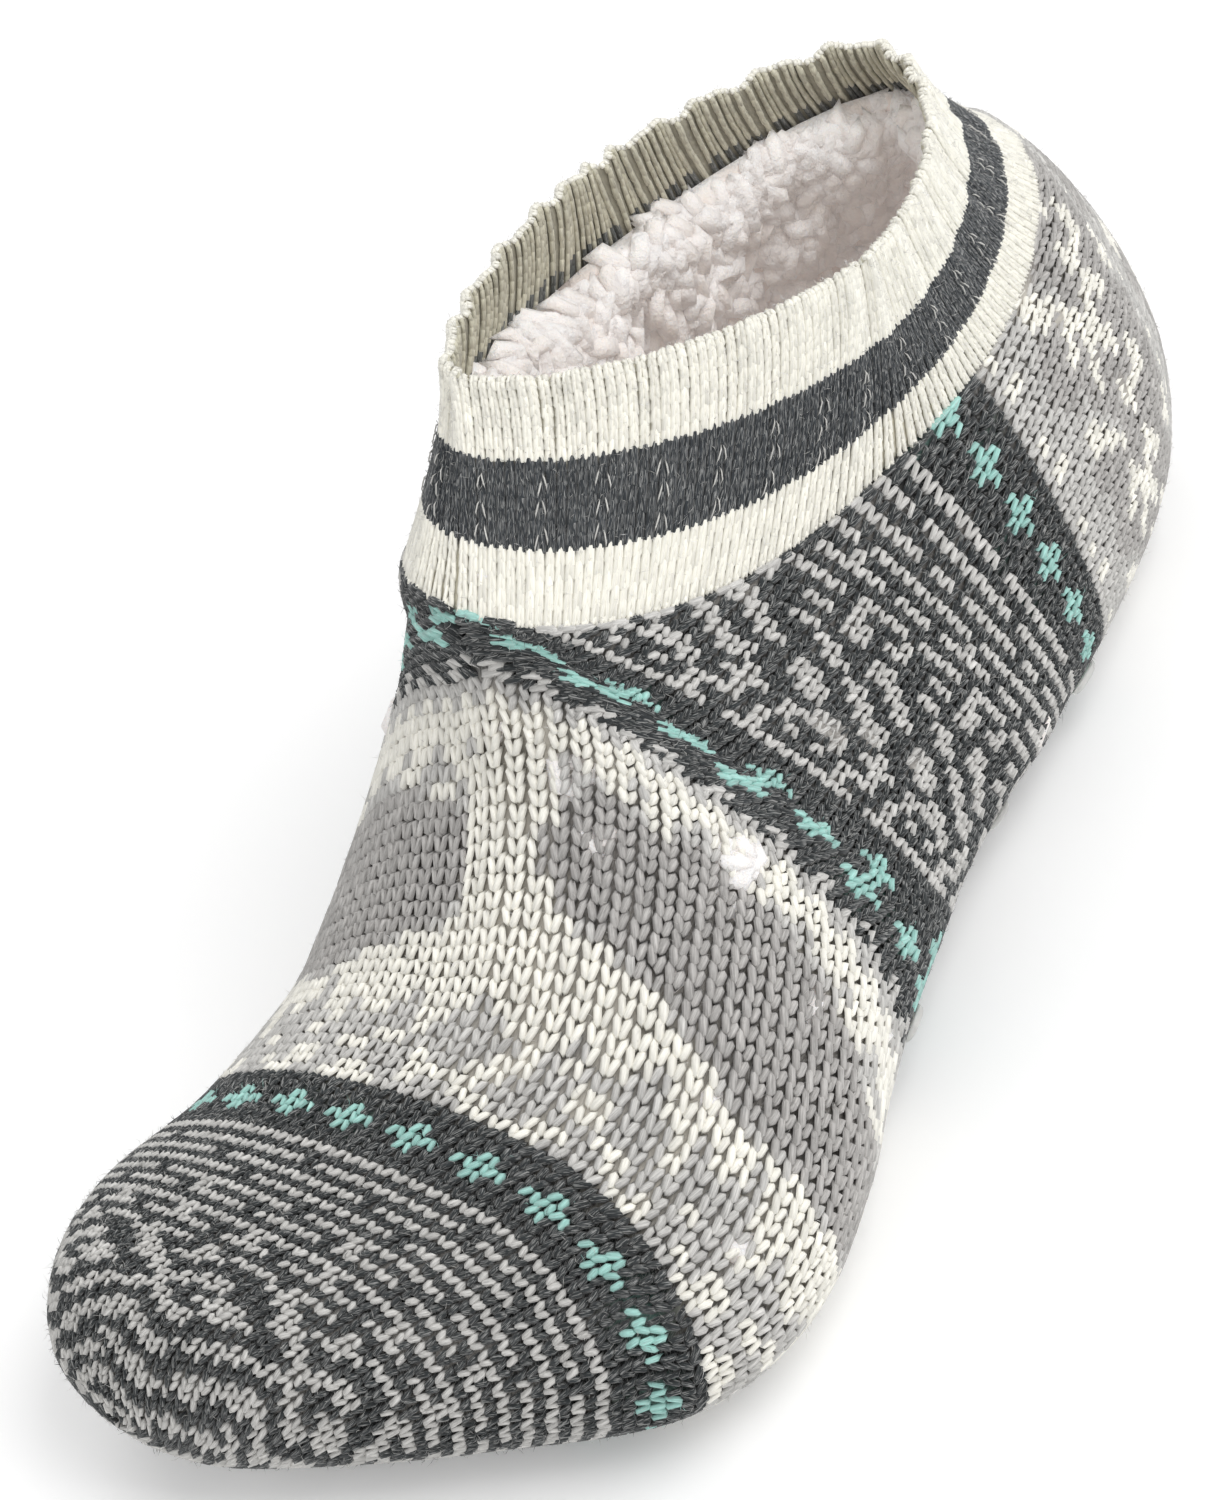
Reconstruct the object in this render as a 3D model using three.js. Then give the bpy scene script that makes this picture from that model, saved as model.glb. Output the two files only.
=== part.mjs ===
// A low knitted slipper sock: a knitted foot, a ribbed collar sewn to its mouth, a deep fleece
// lining, and rows of grip dots under the sole. Millimetres, +X to the toe, +Z up, +Y to the
// wearer's left. The slipper has the curve of a left foot and stands on its grip dots.
import * as THREE from "three";

// Driving sizes, in millimetres.
const LENGTH = 250; // heel to toe, outside the knit
const BALL_WIDTH = 101; // widest place across the ball
const INSTEP_HEIGHT = 101; // from the underside of the knit to the front of the collar seam
const SOLE_RISE = 12; // scale of the toe spring, the arch and the turned-up heel
const KNIT = 2.2; // thickness of the knitted foot
const CUFF_KNIT = 2.0; // thickness of the ribbed collar
const PILE = 4.5; // thickness of the fleece lining
const GAP = 0.3; // clearance between pieces that touch

// The collar seam and the collar's rim are ovals, tipped up at the front.
const SEAM = { middle: -39.5, height: 83.3, long: 135, wide: 58, tip: 9.2, bow: 6.0, square: 2.4 };
const RIM = { middle: -43.4, height: 113.5, long: 96, wide: 55.2, tip: 8.8, bow: 0, square: 1.64 };
const COLLAR_SHIFT = -6.3; // the rim's ends sit this far towards the big-toe side
const COLLAR_SKEW = 0.29; // how much further the rim swells on the little-toe side
const CUFF_EASE = 1.5; // how soon the collar draws in above the seam
const LINING_TOP = 0.6; // how far up the collar the fleece reaches

// Grip dots.
const DOT_WIDTH = 6.2;
const DOT_TOP_WIDTH = 4.6;
const DOT_HEIGHT = 1.3;
const DOT_ROW_PITCH = 14; // along the sole, from one row to the next
const DOT_PITCH = 20; // across the sole; every other row is half a pitch aside
const DOT_HEEL_MARGIN = 21; // from the heel to the first row
const DOT_TOE_MARGIN = 24; // from the last row to the toe
const DOT_EDGE = 0.9; // share of the half width that a dot may reach
const DOT_SIDES = 10;

// One row for each knitted section, from the toe to the heel.
// foot: where the section starts, as a share of the length from the toe.
// low, top: its lowest and highest place, as shares of the sole rise and the instep height.
// half: half its width, and side: its middle, both as shares of the ball width.
// reach: how far its top stands ahead of its foot, as a share of the length.
// waist: height of its widest place, as a share of its height. crown: how full its upper half is.
// seam: where it meets the collar seam, in degrees from the front. It has no top of its own there.
const SECTIONS = [
  { foot: 0.0, low: 1.5, half: 0.0, side: -0.14, top: 0.178, reach: 0.0, waist: 0.4, crown: 2.0 },
  { foot: 0.014, low: 0.72, half: 0.148, side: -0.16, top: 0.257, reach: 0.0, waist: 0.4, crown: 2.0 },
  { foot: 0.05, low: 0.36, half: 0.262, side: -0.115, top: 0.37, reach: 0.0, waist: 0.4, crown: 2.1 },
  { foot: 0.11, low: 0.14, half: 0.391, side: -0.035, top: 0.392, reach: 0.0, waist: 0.4, crown: 2.1 },
  { foot: 0.19, low: 0.0, half: 0.485, side: 0.105, top: 0.455, reach: 0.0, waist: 0.4, crown: 1.85 },
  { foot: 0.29, low: 0.0, half: 0.51, side: 0.135, top: 0.535, reach: 0.012, waist: 0.4, crown: 1.7 },
  { foot: 0.435, low: 0.12, half: 0.46, side: 0.075, top: 0.79, reach: 0.058, waist: 0.4, crown: 1.65 },
  { foot: 0.535, low: 0.2, half: 0.41, side: 0.042, seam: 0, waist: 0.36, crown: 1.55 },
  { foot: 0.595, low: 0.17, half: 0.388, side: 0.02, seam: 38, waist: 0.38, crown: 1.7 },
  { foot: 0.68, low: 0.08, half: 0.367, side: -0.002, seam: 72, waist: 0.4, crown: 1.9 },
  { foot: 0.775, low: 0.0, half: 0.343, side: -0.028, seam: 106, waist: 0.42, crown: 2.0 },
  { foot: 0.855, low: 0.0, half: 0.312, side: -0.053, seam: 140, waist: 0.42, crown: 1.8 },
  { foot: 0.92, low: 0.14, half: 0.269, side: -0.079, seam: 180, waist: 0.42, crown: 1.55 },
  { foot: 0.963, low: 0.52, half: 0.187, side: -0.082, top: 0.634, reach: 0.0, waist: 0.42, crown: 1.75 },
  { foot: 0.989, low: 1.15, half: 0.1, side: -0.083, top: 0.467, reach: 0.008, waist: 0.42, crown: 2.0 },
  { foot: 1.0, low: 2.45, half: 0.0, side: -0.083, top: 0.291, reach: 0.0, waist: 0.42, crown: 2.0 },
];
const FIRST_OPEN = SECTIONS.findIndex((row) => row.seam === 0);
const LAST_OPEN = SECTIONS.findIndex((row) => row.seam === 180);
const SOLE_SQUARE = 0.62; // under the widest place: how square the section turns
const SOLE_ROUND = 0.8;
const SOLE_PRESS = 0.02; // share of the lower half that is pressed flat by standing
const STEPS = 2; // modelled sections between two rows
const SEAM_STEPS = 3; // the same along the collar seam
const UPPER_STEPS = 6; // points from the top of a section to its widest place
const LOWER_STEPS = 7; // points from there to the middle of the sole
const CUFF_STEPS = 5; // rings from the seam to the rim
const PILE_ROUNDS = 3; // how often the fleece's inner face is smoothed

const COLOURS = {
  knit: 0x8f9091,
  cuff: 0xdfddd0,
  fleece: 0xe4dcd6,
  grip: 0xd8dad8,
};

const UNDERSIDE = DOT_HEIGHT + GAP; // height of the knit above the floor

// A smooth curve through evenly spaced values. round: the curve starts and ends level.
function smooth(values, place, round = false) {
  const last = values.length - 1;
  const i = Math.min(Math.floor(place), last - 1);
  const t = place - i;
  const before = i > 0 ? values[i - 1] : round ? values[1] : 2 * values[0] - values[1];
  const end = round ? values[last - 1] : 2 * values[last] - values[last - 1];
  const after = i + 2 <= last ? values[i + 2] : end;
  const a = values[i];
  const b = values[i + 1];
  const bend = 2 * before - 5 * a + 4 * b - after;
  const twist = 3 * (a - b) + after - before;
  return a + 0.5 * t * (b - before + t * (bend + t * twist));
}

// A point of a tipped oval, in millimetres; angle is in degrees from its front.
function onOval(oval, angle) {
  const turn = THREE.MathUtils.degToRad(angle);
  const tip = THREE.MathUtils.degToRad(oval.tip);
  const power = 2 / oval.square;
  const cos = Math.sign(Math.cos(turn)) * Math.abs(Math.cos(turn)) ** power;
  const sin = Math.sign(Math.sin(turn)) * Math.abs(Math.sin(turn)) ** power;
  const along = (oval.long / 2) * cos;
  const lift = oval.bow * Math.cos(2 * turn);
  return new THREE.Vector3(
    oval.middle + along * Math.cos(tip) - lift * Math.sin(tip),
    (oval.wide / 2) * sin,
    oval.height + along * Math.sin(tip) + lift * Math.cos(tip),
  );
}

// The top of one row, as millimetres from the underside of the knit.
function topOf(row) {
  if (row.seam !== undefined) return onOval(SEAM, row.seam);
  const x = LENGTH / 2 - LENGTH * row.foot + LENGTH * row.reach;
  return new THREE.Vector3(x, 0, row.top * INSTEP_HEIGHT);
}

const TOPS = SECTIONS.map(topOf);
const column = (name) => SECTIONS.map((row) => row[name]);
const FOOT = column("foot");
const LOW = column("low");
const HALF = column("half");
const SIDE = column("side");
const WAIST = column("waist");
const CROWN = column("crown");
const SEAM_ANGLES = SECTIONS.slice(FIRST_OPEN, LAST_OPEN + 1).map((row) => row.seam);

// Everything that one section needs, at a place counted in rows.
function sectionAt(place) {
  const open = place >= FIRST_OPEN && place <= LAST_OPEN;
  const low = Math.max(smooth(LOW, place), 0) * SOLE_RISE;
  const half = Math.max(smooth(HALF, place) * BALL_WIDTH, 0);
  const top = new THREE.Vector3(
    smooth(TOPS.map((p) => p.x), place),
    0,
    smooth(TOPS.map((p) => p.z), place),
  );
  if (open) top.copy(onOval(SEAM, smooth(SEAM_ANGLES, place - FIRST_OPEN)));
  const waist = low + smooth(WAIST, place) * (Math.min(top.z, 0.84 * INSTEP_HEIGHT) - low);
  return {
    x: LENGTH / 2 - LENGTH * smooth(FOOT, place, true),
    low,
    half,
    side: smooth(SIDE, place) * BALL_WIDTH,
    top,
    waist,
    crown: smooth(CROWN, place),
  };
}

// A point of a section's left half. up runs from 1 at the top to 0 at the widest place;
// down runs from 0 there to 1 at the middle of the sole.
function onSection(s, up, down, hand) {
  const halfMouth = Math.min(Math.abs(s.top.y) / Math.max(s.half, 1e-6), 0.98);
  const endAngle = Math.acos(halfMouth ** (s.crown / 2));
  const rise = (s.top.z - s.waist) / Math.sin(endAngle) ** (2 / s.crown);
  let out = s.half;
  let z = s.waist;
  if (up > 0) {
    out = s.half * Math.cos(endAngle * up) ** (2 / s.crown);
    z = s.waist + rise * Math.sin(endAngle * up) ** (2 / s.crown);
    if (up === 1) out = Math.abs(s.top.y);
  } else {
    const turn = (Math.PI / 2) * down;
    const depth = (s.waist - s.low) * (1 + SOLE_PRESS);
    out = down === 1 ? 0 : s.half * Math.cos(turn) ** SOLE_SQUARE;
    z = Math.max(s.waist - depth * Math.sin(turn) ** SOLE_ROUND, s.low);
  }
  const lean = (s.top.x - s.x) * ((z - s.low) / Math.max(s.top.z - s.low, 1e-6));
  return new THREE.Vector3(s.x + lean, s.side + hand * out, z);
}

// Places of the modelled sections, counted in rows.
function sectionPlaces() {
  const places = [];
  for (let row = 0; row < SECTIONS.length - 1; row++) {
    const steps = row >= FIRST_OPEN && row < LAST_OPEN ? SEAM_STEPS : STEPS;
    for (let step = 0; step < steps; step++) places.push(row + step / steps);
  }
  places.push(SECTIONS.length - 1);
  return places;
}

// Two triangles for a four-cornered patch, split along its shorter diagonal.
function splitQuad(points, a, b, c, d) {
  if (points[a].distanceTo(points[c]) <= points[b].distanceTo(points[d])) {
    return [[a, b, c], [a, c, d]];
  }
  return [[a, b, d], [b, c, d]];
}

// The slipper's outer skin as one welded net: the foot, then the collar's rings above its mouth.
function buildSkin() {
  const points = [];
  const footFaces = [];
  const rings = [];
  const add = (p) => points.push(p) - 1;
  const places = sectionPlaces();
  const rows = places.map((place) => {
    const s = sectionAt(place);
    if (place === 0 || place === SECTIONS.length - 1) {
      const pole = add(new THREE.Vector3(s.x, s.side, s.low));
      return { place, line: new Array(2 * (UPPER_STEPS + LOWER_STEPS) + 1).fill(pole) };
    }
    const left = [];
    const right = [];
    for (let i = 0; i <= UPPER_STEPS; i++) {
      left.push(onSection(s, 1 - i / UPPER_STEPS, 0, 1));
      right.push(onSection(s, 1 - i / UPPER_STEPS, 0, -1));
    }
    for (let i = 1; i <= LOWER_STEPS; i++) {
      left.push(onSection(s, 0, i / LOWER_STEPS, 1));
      right.push(onSection(s, 0, i / LOWER_STEPS, -1));
    }
    right.pop();
    const line = left.map(add);
    const back = right.slice(1).map(add);
    const mouth = place > FIRST_OPEN && place < LAST_OPEN;
    const lastPoint = mouth ? add(right[0]) : line[0];
    return { place, line: [...line, ...back.reverse(), lastPoint] };
  });
  for (let r = 0; r < rows.length - 1; r++) {
    const a = rows[r].line;
    const b = rows[r + 1].line;
    for (let c = 0; c < a.length - 1; c++) {
      footFaces.push(...splitQuad(points, a[c], a[c + 1], b[c + 1], b[c]));
    }
  }
  const open = rows.filter((r) => r.place >= FIRST_OPEN && r.place <= LAST_OPEN);
  const leftEdge = open.map((r) => r.line[0]);
  const rightEdge = open.slice(1, -1).map((r) => r.line.at(-1));
  const mouthLoop = [...leftEdge, ...rightEdge.reverse()];
  const angles = open.map((r) => smooth(SEAM_ANGLES, r.place - FIRST_OPEN));
  const loopAngles = [...angles, ...angles.slice(1, -1).reverse().map((a) => 360 - a)];
  rings.push(mouthLoop);
  for (let k = 1; k <= CUFF_STEPS; k++) {
    const t = k / CUFF_STEPS;
    rings.push(mouthLoop.map((id, j) => add(cuffPoint(points[id], loopAngles[j], t))));
  }
  return { points, footFaces, rings };
}

// A point of the collar's face, t of the way from the seam to the rim.
function cuffPoint(seamPoint, angle, t) {
  const rim = onOval(RIM, angle);
  rim.y = rim.y * (1 + COLLAR_SKEW * Math.sign(rim.y)) + COLLAR_SHIFT;
  const draw = 1 - (1 - t) ** CUFF_EASE;
  return new THREE.Vector3(
    THREE.MathUtils.lerp(seamPoint.x, rim.x, draw),
    THREE.MathUtils.lerp(seamPoint.y, rim.y, draw),
    THREE.MathUtils.lerp(seamPoint.z, rim.z, t),
  );
}

function ringFaces(rings, first, last) {
  const faces = [];
  for (let k = first; k < last; k++) {
    const a = rings[k];
    const b = rings[k + 1];
    for (let j = 0; j < a.length; j++) {
      const n = (j + 1) % a.length;
      faces.push([a[j], a[n], b[n]], [a[j], b[n], b[j]]);
    }
  }
  return faces;
}

function normalsOf(points, faces) {
  const normals = points.map(() => new THREE.Vector3());
  for (const [a, b, c] of faces) {
    const ab = points[b].clone().sub(points[a]);
    const ac = points[c].clone().sub(points[a]);
    const n = ab.cross(ac);
    for (const id of [a, b, c]) normals[id].add(n);
  }
  return normals.map((n) => n.normalize());
}

// Draws each inner point of a wall towards its neighbours, which rounds tight inside corners.
function relax(vertices, count, faces, rounds) {
  const near = Array.from({ length: count }, () => new Set());
  for (const [a, b, c] of faces) {
    near[a].add(b).add(c);
    near[b].add(a).add(c);
    near[c].add(a).add(b);
  }
  for (let round = 0; round < rounds; round++) {
    const moved = near.map((set, i) => {
      const mean = new THREE.Vector3();
      for (const j of set) mean.add(vertices[j + count]);
      return mean.divideScalar(set.size).lerp(vertices[i + count], 0.5);
    });
    moved.forEach((v, i) => vertices[i + count].copy(v));
  }
}

// A closed wall between two depths under some faces of the net.
function wallBetween(points, normals, faces, outer, inner, shift = () => null, rounds = 0) {
  const used = [...new Set(faces.flat())];
  const place = new Map(used.map((id, i) => [id, i]));
  const vertices = [];
  for (const depth of [outer, inner]) {
    for (const id of used) {
      const p = points[id].clone().addScaledVector(normals[id], -depth);
      const extra = shift(id);
      if (extra) p.add(extra);
      vertices.push(p);
    }
  }
  const count = used.length;
  relax(vertices, count, faces.map((face) => face.map((id) => place.get(id))), rounds);
  const solid = [];
  const edges = new Map();
  for (const face of faces) {
    if (new Set(face).size < 3) continue;
    const [a, b, c] = face.map((id) => place.get(id));
    solid.push([a, b, c], [a + count, c + count, b + count]);
    for (const [p, q] of [[a, b], [b, c], [c, a]]) {
      if (edges.has(`${q},${p}`)) edges.delete(`${q},${p}`);
      else edges.set(`${p},${q}`, [p, q]);
    }
  }
  for (const [p, q] of edges.values()) {
    // Two pieces that share an edge split its band the same way, so the bands stay parallel.
    if (used[p] < used[q]) solid.push([q, p, p + count], [q, p + count, q + count]);
    else solid.push([q, p, q + count], [p, p + count, q + count]);
  }
  const geometry = new THREE.BufferGeometry();
  const flat = vertices.flatMap((v) => [v.x, v.y, v.z]);
  geometry.setAttribute("position", new THREE.Float32BufferAttribute(flat, 3));
  geometry.setIndex(solid.flat());
  return geometry;
}

const skin = buildSkin();
const cuffFaces = ringFaces(skin.rings, 0, CUFF_STEPS);
const solidFaces = skin.footFaces.filter((face) => new Set(face).size === 3);
const normals = normalsOf(skin.points, [...solidFaces, ...cuffFaces]);

// The box of the foot in plan sets where the origin is: the middle of the slipper.
const span = new THREE.Box3().setFromPoints(skin.points);
const CENTRE_Y = (span.min.y + span.max.y) / 2;

function makeFoot() {
  return wallBetween(skin.points, normals, solidFaces, 0, KNIT);
}

// The collar's lowest ring stands one gap above the foot's raw edge, square to that edge.
function makeCuff() {
  const mouth = skin.rings[0];
  const lifts = new Map();
  mouth.forEach((id, j) => {
    const ahead = skin.points[mouth[(j + 1) % mouth.length]];
    const behind = skin.points[mouth[(j + mouth.length - 1) % mouth.length]];
    const lift = ahead.clone().sub(behind).cross(normals[id]).normalize();
    const up = skin.points[skin.rings[1][j]].clone().sub(skin.points[id]);
    lifts.set(id, lift.multiplyScalar(Math.sign(lift.dot(up)) * GAP));
  });
  return wallBetween(skin.points, normals, cuffFaces, 0, CUFF_KNIT, (id) => lifts.get(id));
}

function makeLining() {
  const last = Math.round(LINING_TOP * CUFF_STEPS);
  const faces = [...solidFaces, ...ringFaces(skin.rings, 0, last)];
  const outer = KNIT + GAP;
  return wallBetween(skin.points, normals, faces, outer, outer + PILE, () => null, PILE_ROUNDS);
}

// A low dot with a flat top, its base at height 0.
function dotGeometry() {
  const profile = [
    new THREE.Vector2(0, 0),
    new THREE.Vector2(DOT_WIDTH / 2, 0),
    new THREE.Vector2(DOT_TOP_WIDTH / 2, DOT_HEIGHT),
    new THREE.Vector2(0, DOT_HEIGHT),
  ];
  const geometry = new THREE.LatheGeometry(profile, DOT_SIDES);
  return geometry.rotateX(Math.PI / 2);
}

const HALVINGS = 40; // steps of the search for a section

// The place, counted in rows, whose section stands at this x on the sole.
function placeAtX(x) {
  let near = 0;
  let far = SECTIONS.length - 1;
  for (let i = 0; i < HALVINGS; i++) {
    const middle = (near + far) / 2;
    if (sectionAt(middle).x > x) near = middle;
    else far = middle;
  }
  return (near + far) / 2;
}

// A point of the sole at a distance from its middle line, and the way it faces.
function onSole(x, across) {
  const s = sectionAt(placeAtX(x));
  const share = Math.min(Math.abs(across) / s.half, 0.999);
  const down = Math.acos(share ** (1 / SOLE_SQUARE)) / (Math.PI / 2);
  return onSection(s, 0, down, Math.sign(across) || 1);
}

function soleNormal(x, across) {
  const reach = 1.5;
  const ahead = onSole(x + reach, across).sub(onSole(x - reach, across));
  const aside = onSole(x, across + reach).sub(onSole(x, across - reach));
  return aside.cross(ahead).normalize();
}

function placeDots() {
  const dots = [];
  const first = -LENGTH / 2 + DOT_HEEL_MARGIN;
  const room = LENGTH - DOT_HEEL_MARGIN - DOT_TOE_MARGIN;
  const rowCount = Math.floor(room / DOT_ROW_PITCH) + 1;
  for (let r = 0; r < rowCount; r++) {
    const x = first + r * DOT_ROW_PITCH;
    const half = sectionAt(placeAtX(x)).half * DOT_EDGE;
    const start = r % 2 === 0 ? 0 : 0.5;
    const most = Math.ceil(BALL_WIDTH / DOT_PITCH);
    for (let k = -most; k <= most; k++) {
      const across = (k + start) * DOT_PITCH;
      if (Math.abs(across) <= half) dots.push({ x, across });
    }
  }
  return dots;
}

// Where a dot is seated: one gap off the knit, and never lower than the floor.
function dotSeat(dot, out) {
  const seat = onSole(dot.x, dot.across).addScaledVector(out, GAP);
  const tilt = Math.sqrt(Math.max(1 - out.z ** 2, 0));
  const lowest = seat.z + DOT_HEIGHT * out.z - (DOT_TOP_WIDTH / 2) * tilt;
  seat.z += Math.max(-UNDERSIDE - lowest, 0);
  return seat;
}

const material = (name, color, roughness) =>
  new THREE.MeshStandardMaterial({ name, color, roughness, metalness: 0 });
const KNIT_LOOK = material("knit", COLOURS.knit, 0.95);
const CUFF_LOOK = material("cuff", COLOURS.cuff, 0.95);
const FLEECE_LOOK = material("fleece", COLOURS.fleece, 1.0);
const GRIP_LOOK = material("grip", COLOURS.grip, 0.35);

function named(name, geometry, look) {
  const mesh = new THREE.Mesh(geometry, look);
  mesh.name = name;
  return mesh;
}

const slipper = new THREE.Group();
slipper.add(named("knit_foot", makeFoot(), KNIT_LOOK));
slipper.add(named("rib_cuff", makeCuff(), CUFF_LOOK));
slipper.add(named("fleece_lining", makeLining(), FLEECE_LOOK));
placeDots().forEach((dot, i) => {
  const out = soleNormal(dot.x, dot.across);
  const mesh = named(`grip_dot_${String(i + 1).padStart(2, "0")}`, dotGeometry(), GRIP_LOOK);
  mesh.position.copy(dotSeat(dot, out));
  mesh.quaternion.setFromUnitVectors(new THREE.Vector3(0, 0, 1), out);
  slipper.add(mesh);
});
slipper.position.set(0, -CENTRE_Y, UNDERSIDE);

export default slipper;
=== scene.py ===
# %% [markdown]
# # A knitted slipper sock
# The slipper is knitted in stranded colourwork, has a ribbed collar and a deep fleece lining,
# and stands on clear silicone dots. A flat surface with a knit picture would look right from
# far off, but from a step away each stitch throws its own small shadow. So the yarn is real
# here: every stitch is two short legs of yarn laid on the surface of the foot.

# %% Load the frame
import math
import bmesh
import bpy
import numpy as np
from mathutils import Matrix
from mathutils.kdtree import KDTree


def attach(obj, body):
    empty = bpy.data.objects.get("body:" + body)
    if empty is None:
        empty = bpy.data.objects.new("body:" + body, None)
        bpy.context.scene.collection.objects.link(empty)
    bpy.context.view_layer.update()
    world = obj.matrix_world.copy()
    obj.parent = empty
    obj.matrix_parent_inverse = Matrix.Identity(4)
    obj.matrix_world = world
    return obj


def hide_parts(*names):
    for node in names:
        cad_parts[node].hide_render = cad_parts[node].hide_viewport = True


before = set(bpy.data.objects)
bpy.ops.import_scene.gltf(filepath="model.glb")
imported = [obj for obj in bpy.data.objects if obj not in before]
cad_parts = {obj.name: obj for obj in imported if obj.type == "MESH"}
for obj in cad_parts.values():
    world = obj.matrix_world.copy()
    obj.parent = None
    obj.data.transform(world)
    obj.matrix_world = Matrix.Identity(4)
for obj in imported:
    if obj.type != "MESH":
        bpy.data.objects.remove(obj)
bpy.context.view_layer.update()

MM = 0.001
rng = np.random.default_rng(7)

# %% [markdown]
# ## The shape of the foot
# The knitted tube follows the last through slanted sections, from the toe to the heel. Each
# section starts on the sole and leans back to the instep, as a real round of knitting does.
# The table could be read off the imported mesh, but the mesh has flat facets, and stitches laid
# on facets show them. So the sections are worked out again here and read as smooth curves.

# %% The sections of the foot
LENGTH = 250.0  # millimetres, heel to toe
BALL_WIDTH = 101.0
INSTEP_HEIGHT = 101.0
SOLE_RISE = 12.0
UNDERSIDE = 1.6  # height of the knit above the floor, on its dots

SEAM = dict(middle=-39.5, height=83.3, long=135, wide=58, tip=9.2, bow=6.0, square=2.4)
RIM = dict(middle=-43.4, height=113.5, long=96, wide=55.2, tip=8.8, bow=0, square=1.64)
COLLAR_SHIFT = -6.3
COLLAR_SKEW = 0.29
CUFF_EASE = 1.5

NAN = float("nan")
COLUMNS = ("foot", "low", "half", "side", "top", "reach", "waist", "crown", "seam")
SECTIONS = [
    (0.0, 1.5, 0.0, -0.14, 0.178, 0.0, 0.4, 2.0, NAN),
    (0.014, 0.72, 0.148, -0.16, 0.257, 0.0, 0.4, 2.0, NAN),
    (0.05, 0.36, 0.262, -0.115, 0.37, 0.0, 0.4, 2.1, NAN),
    (0.11, 0.14, 0.391, -0.035, 0.392, 0.0, 0.4, 2.1, NAN),
    (0.19, 0.0, 0.485, 0.105, 0.455, 0.0, 0.4, 1.85, NAN),
    (0.29, 0.0, 0.51, 0.135, 0.535, 0.012, 0.4, 1.7, NAN),
    (0.435, 0.12, 0.46, 0.075, 0.79, 0.058, 0.4, 1.65, NAN),
    (0.535, 0.2, 0.41, 0.042, NAN, NAN, 0.36, 1.55, 0),
    (0.595, 0.17, 0.388, 0.02, NAN, NAN, 0.38, 1.7, 38),
    (0.68, 0.08, 0.367, -0.002, NAN, NAN, 0.4, 1.9, 72),
    (0.775, 0.0, 0.343, -0.028, NAN, NAN, 0.42, 2.0, 106),
    (0.855, 0.0, 0.312, -0.053, NAN, NAN, 0.42, 1.8, 140),
    (0.92, 0.14, 0.269, -0.079, NAN, NAN, 0.42, 1.55, 180),
    (0.963, 0.52, 0.187, -0.082, 0.634, 0.0, 0.42, 1.75, NAN),
    (0.989, 1.15, 0.1, -0.083, 0.467, 0.008, 0.42, 2.0, NAN),
    (1.0, 2.45, 0.0, -0.083, 0.291, 0.0, 0.42, 2.0, NAN),
]
TABLE = {name: np.array([row[i] for row in SECTIONS]) for i, name in enumerate(COLUMNS)}
FIRST_OPEN = 7
LAST_OPEN = 12
LAST = len(SECTIONS) - 1
SOLE_SQUARE = 0.62
SOLE_ROUND = 0.8
SOLE_PRESS = 0.02


def smooth(values, place, level_ends=False):
    """A smooth curve through evenly spaced values."""
    last = len(values) - 1
    i = min(int(place), last - 1)
    t = place - i
    before = values[i - 1] if i > 0 else (values[1] if level_ends else 2 * values[0] - values[1])
    end = values[last - 1] if level_ends else 2 * values[last] - values[last - 1]
    after = values[i + 2] if i + 2 <= last else end
    a, b = values[i], values[i + 1]
    bend = 2 * before - 5 * a + 4 * b - after
    twist = 3 * (a - b) + after - before
    return a + 0.5 * t * (b - before + t * (bend + t * twist))


def signed_power(value, power):
    return np.sign(value) * np.abs(value) ** power


def on_oval(oval, degrees):
    """A point, or points, of a tipped oval; degrees run from its front."""
    turn = np.radians(degrees)
    tip = math.radians(oval["tip"])
    power = 2 / oval["square"]
    along = oval["long"] / 2 * signed_power(np.cos(turn), power)
    lift = oval["bow"] * np.cos(2 * turn)
    return np.stack([
        oval["middle"] + along * math.cos(tip) - lift * math.sin(tip),
        oval["wide"] / 2 * signed_power(np.sin(turn), power),
        oval["height"] + along * math.sin(tip) + lift * math.cos(tip),
    ], -1)


def top_of_row(i):
    if not math.isnan(TABLE["seam"][i]):
        return on_oval(SEAM, TABLE["seam"][i])
    x = LENGTH / 2 - LENGTH * TABLE["foot"][i] + LENGTH * TABLE["reach"][i]
    return np.array([x, 0.0, TABLE["top"][i] * INSTEP_HEIGHT])


TOPS = np.array([top_of_row(i) for i in range(LAST + 1)])
SEAM_ANGLES = TABLE["seam"][FIRST_OPEN:LAST_OPEN + 1]


def section(place):
    """What one slanted section needs, at a place counted in rows of the table."""
    low = max(smooth(TABLE["low"], place), 0) * SOLE_RISE
    if FIRST_OPEN <= place <= LAST_OPEN:
        top = on_oval(SEAM, smooth(SEAM_ANGLES, place - FIRST_OPEN))
    else:
        top = np.array([smooth(TOPS[:, 0], place), 0.0, smooth(TOPS[:, 2], place)])
    waist = low + smooth(TABLE["waist"], place) * (min(top[2], 0.84 * INSTEP_HEIGHT) - low)
    return dict(
        x=LENGTH / 2 - LENGTH * smooth(TABLE["foot"], place, True),
        low=low, top=top, waist=waist,
        half=max(smooth(TABLE["half"], place) * BALL_WIDTH, 0.01),
        side=smooth(TABLE["side"], place) * BALL_WIDTH,
        crown=smooth(TABLE["crown"], place),
    )


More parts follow.
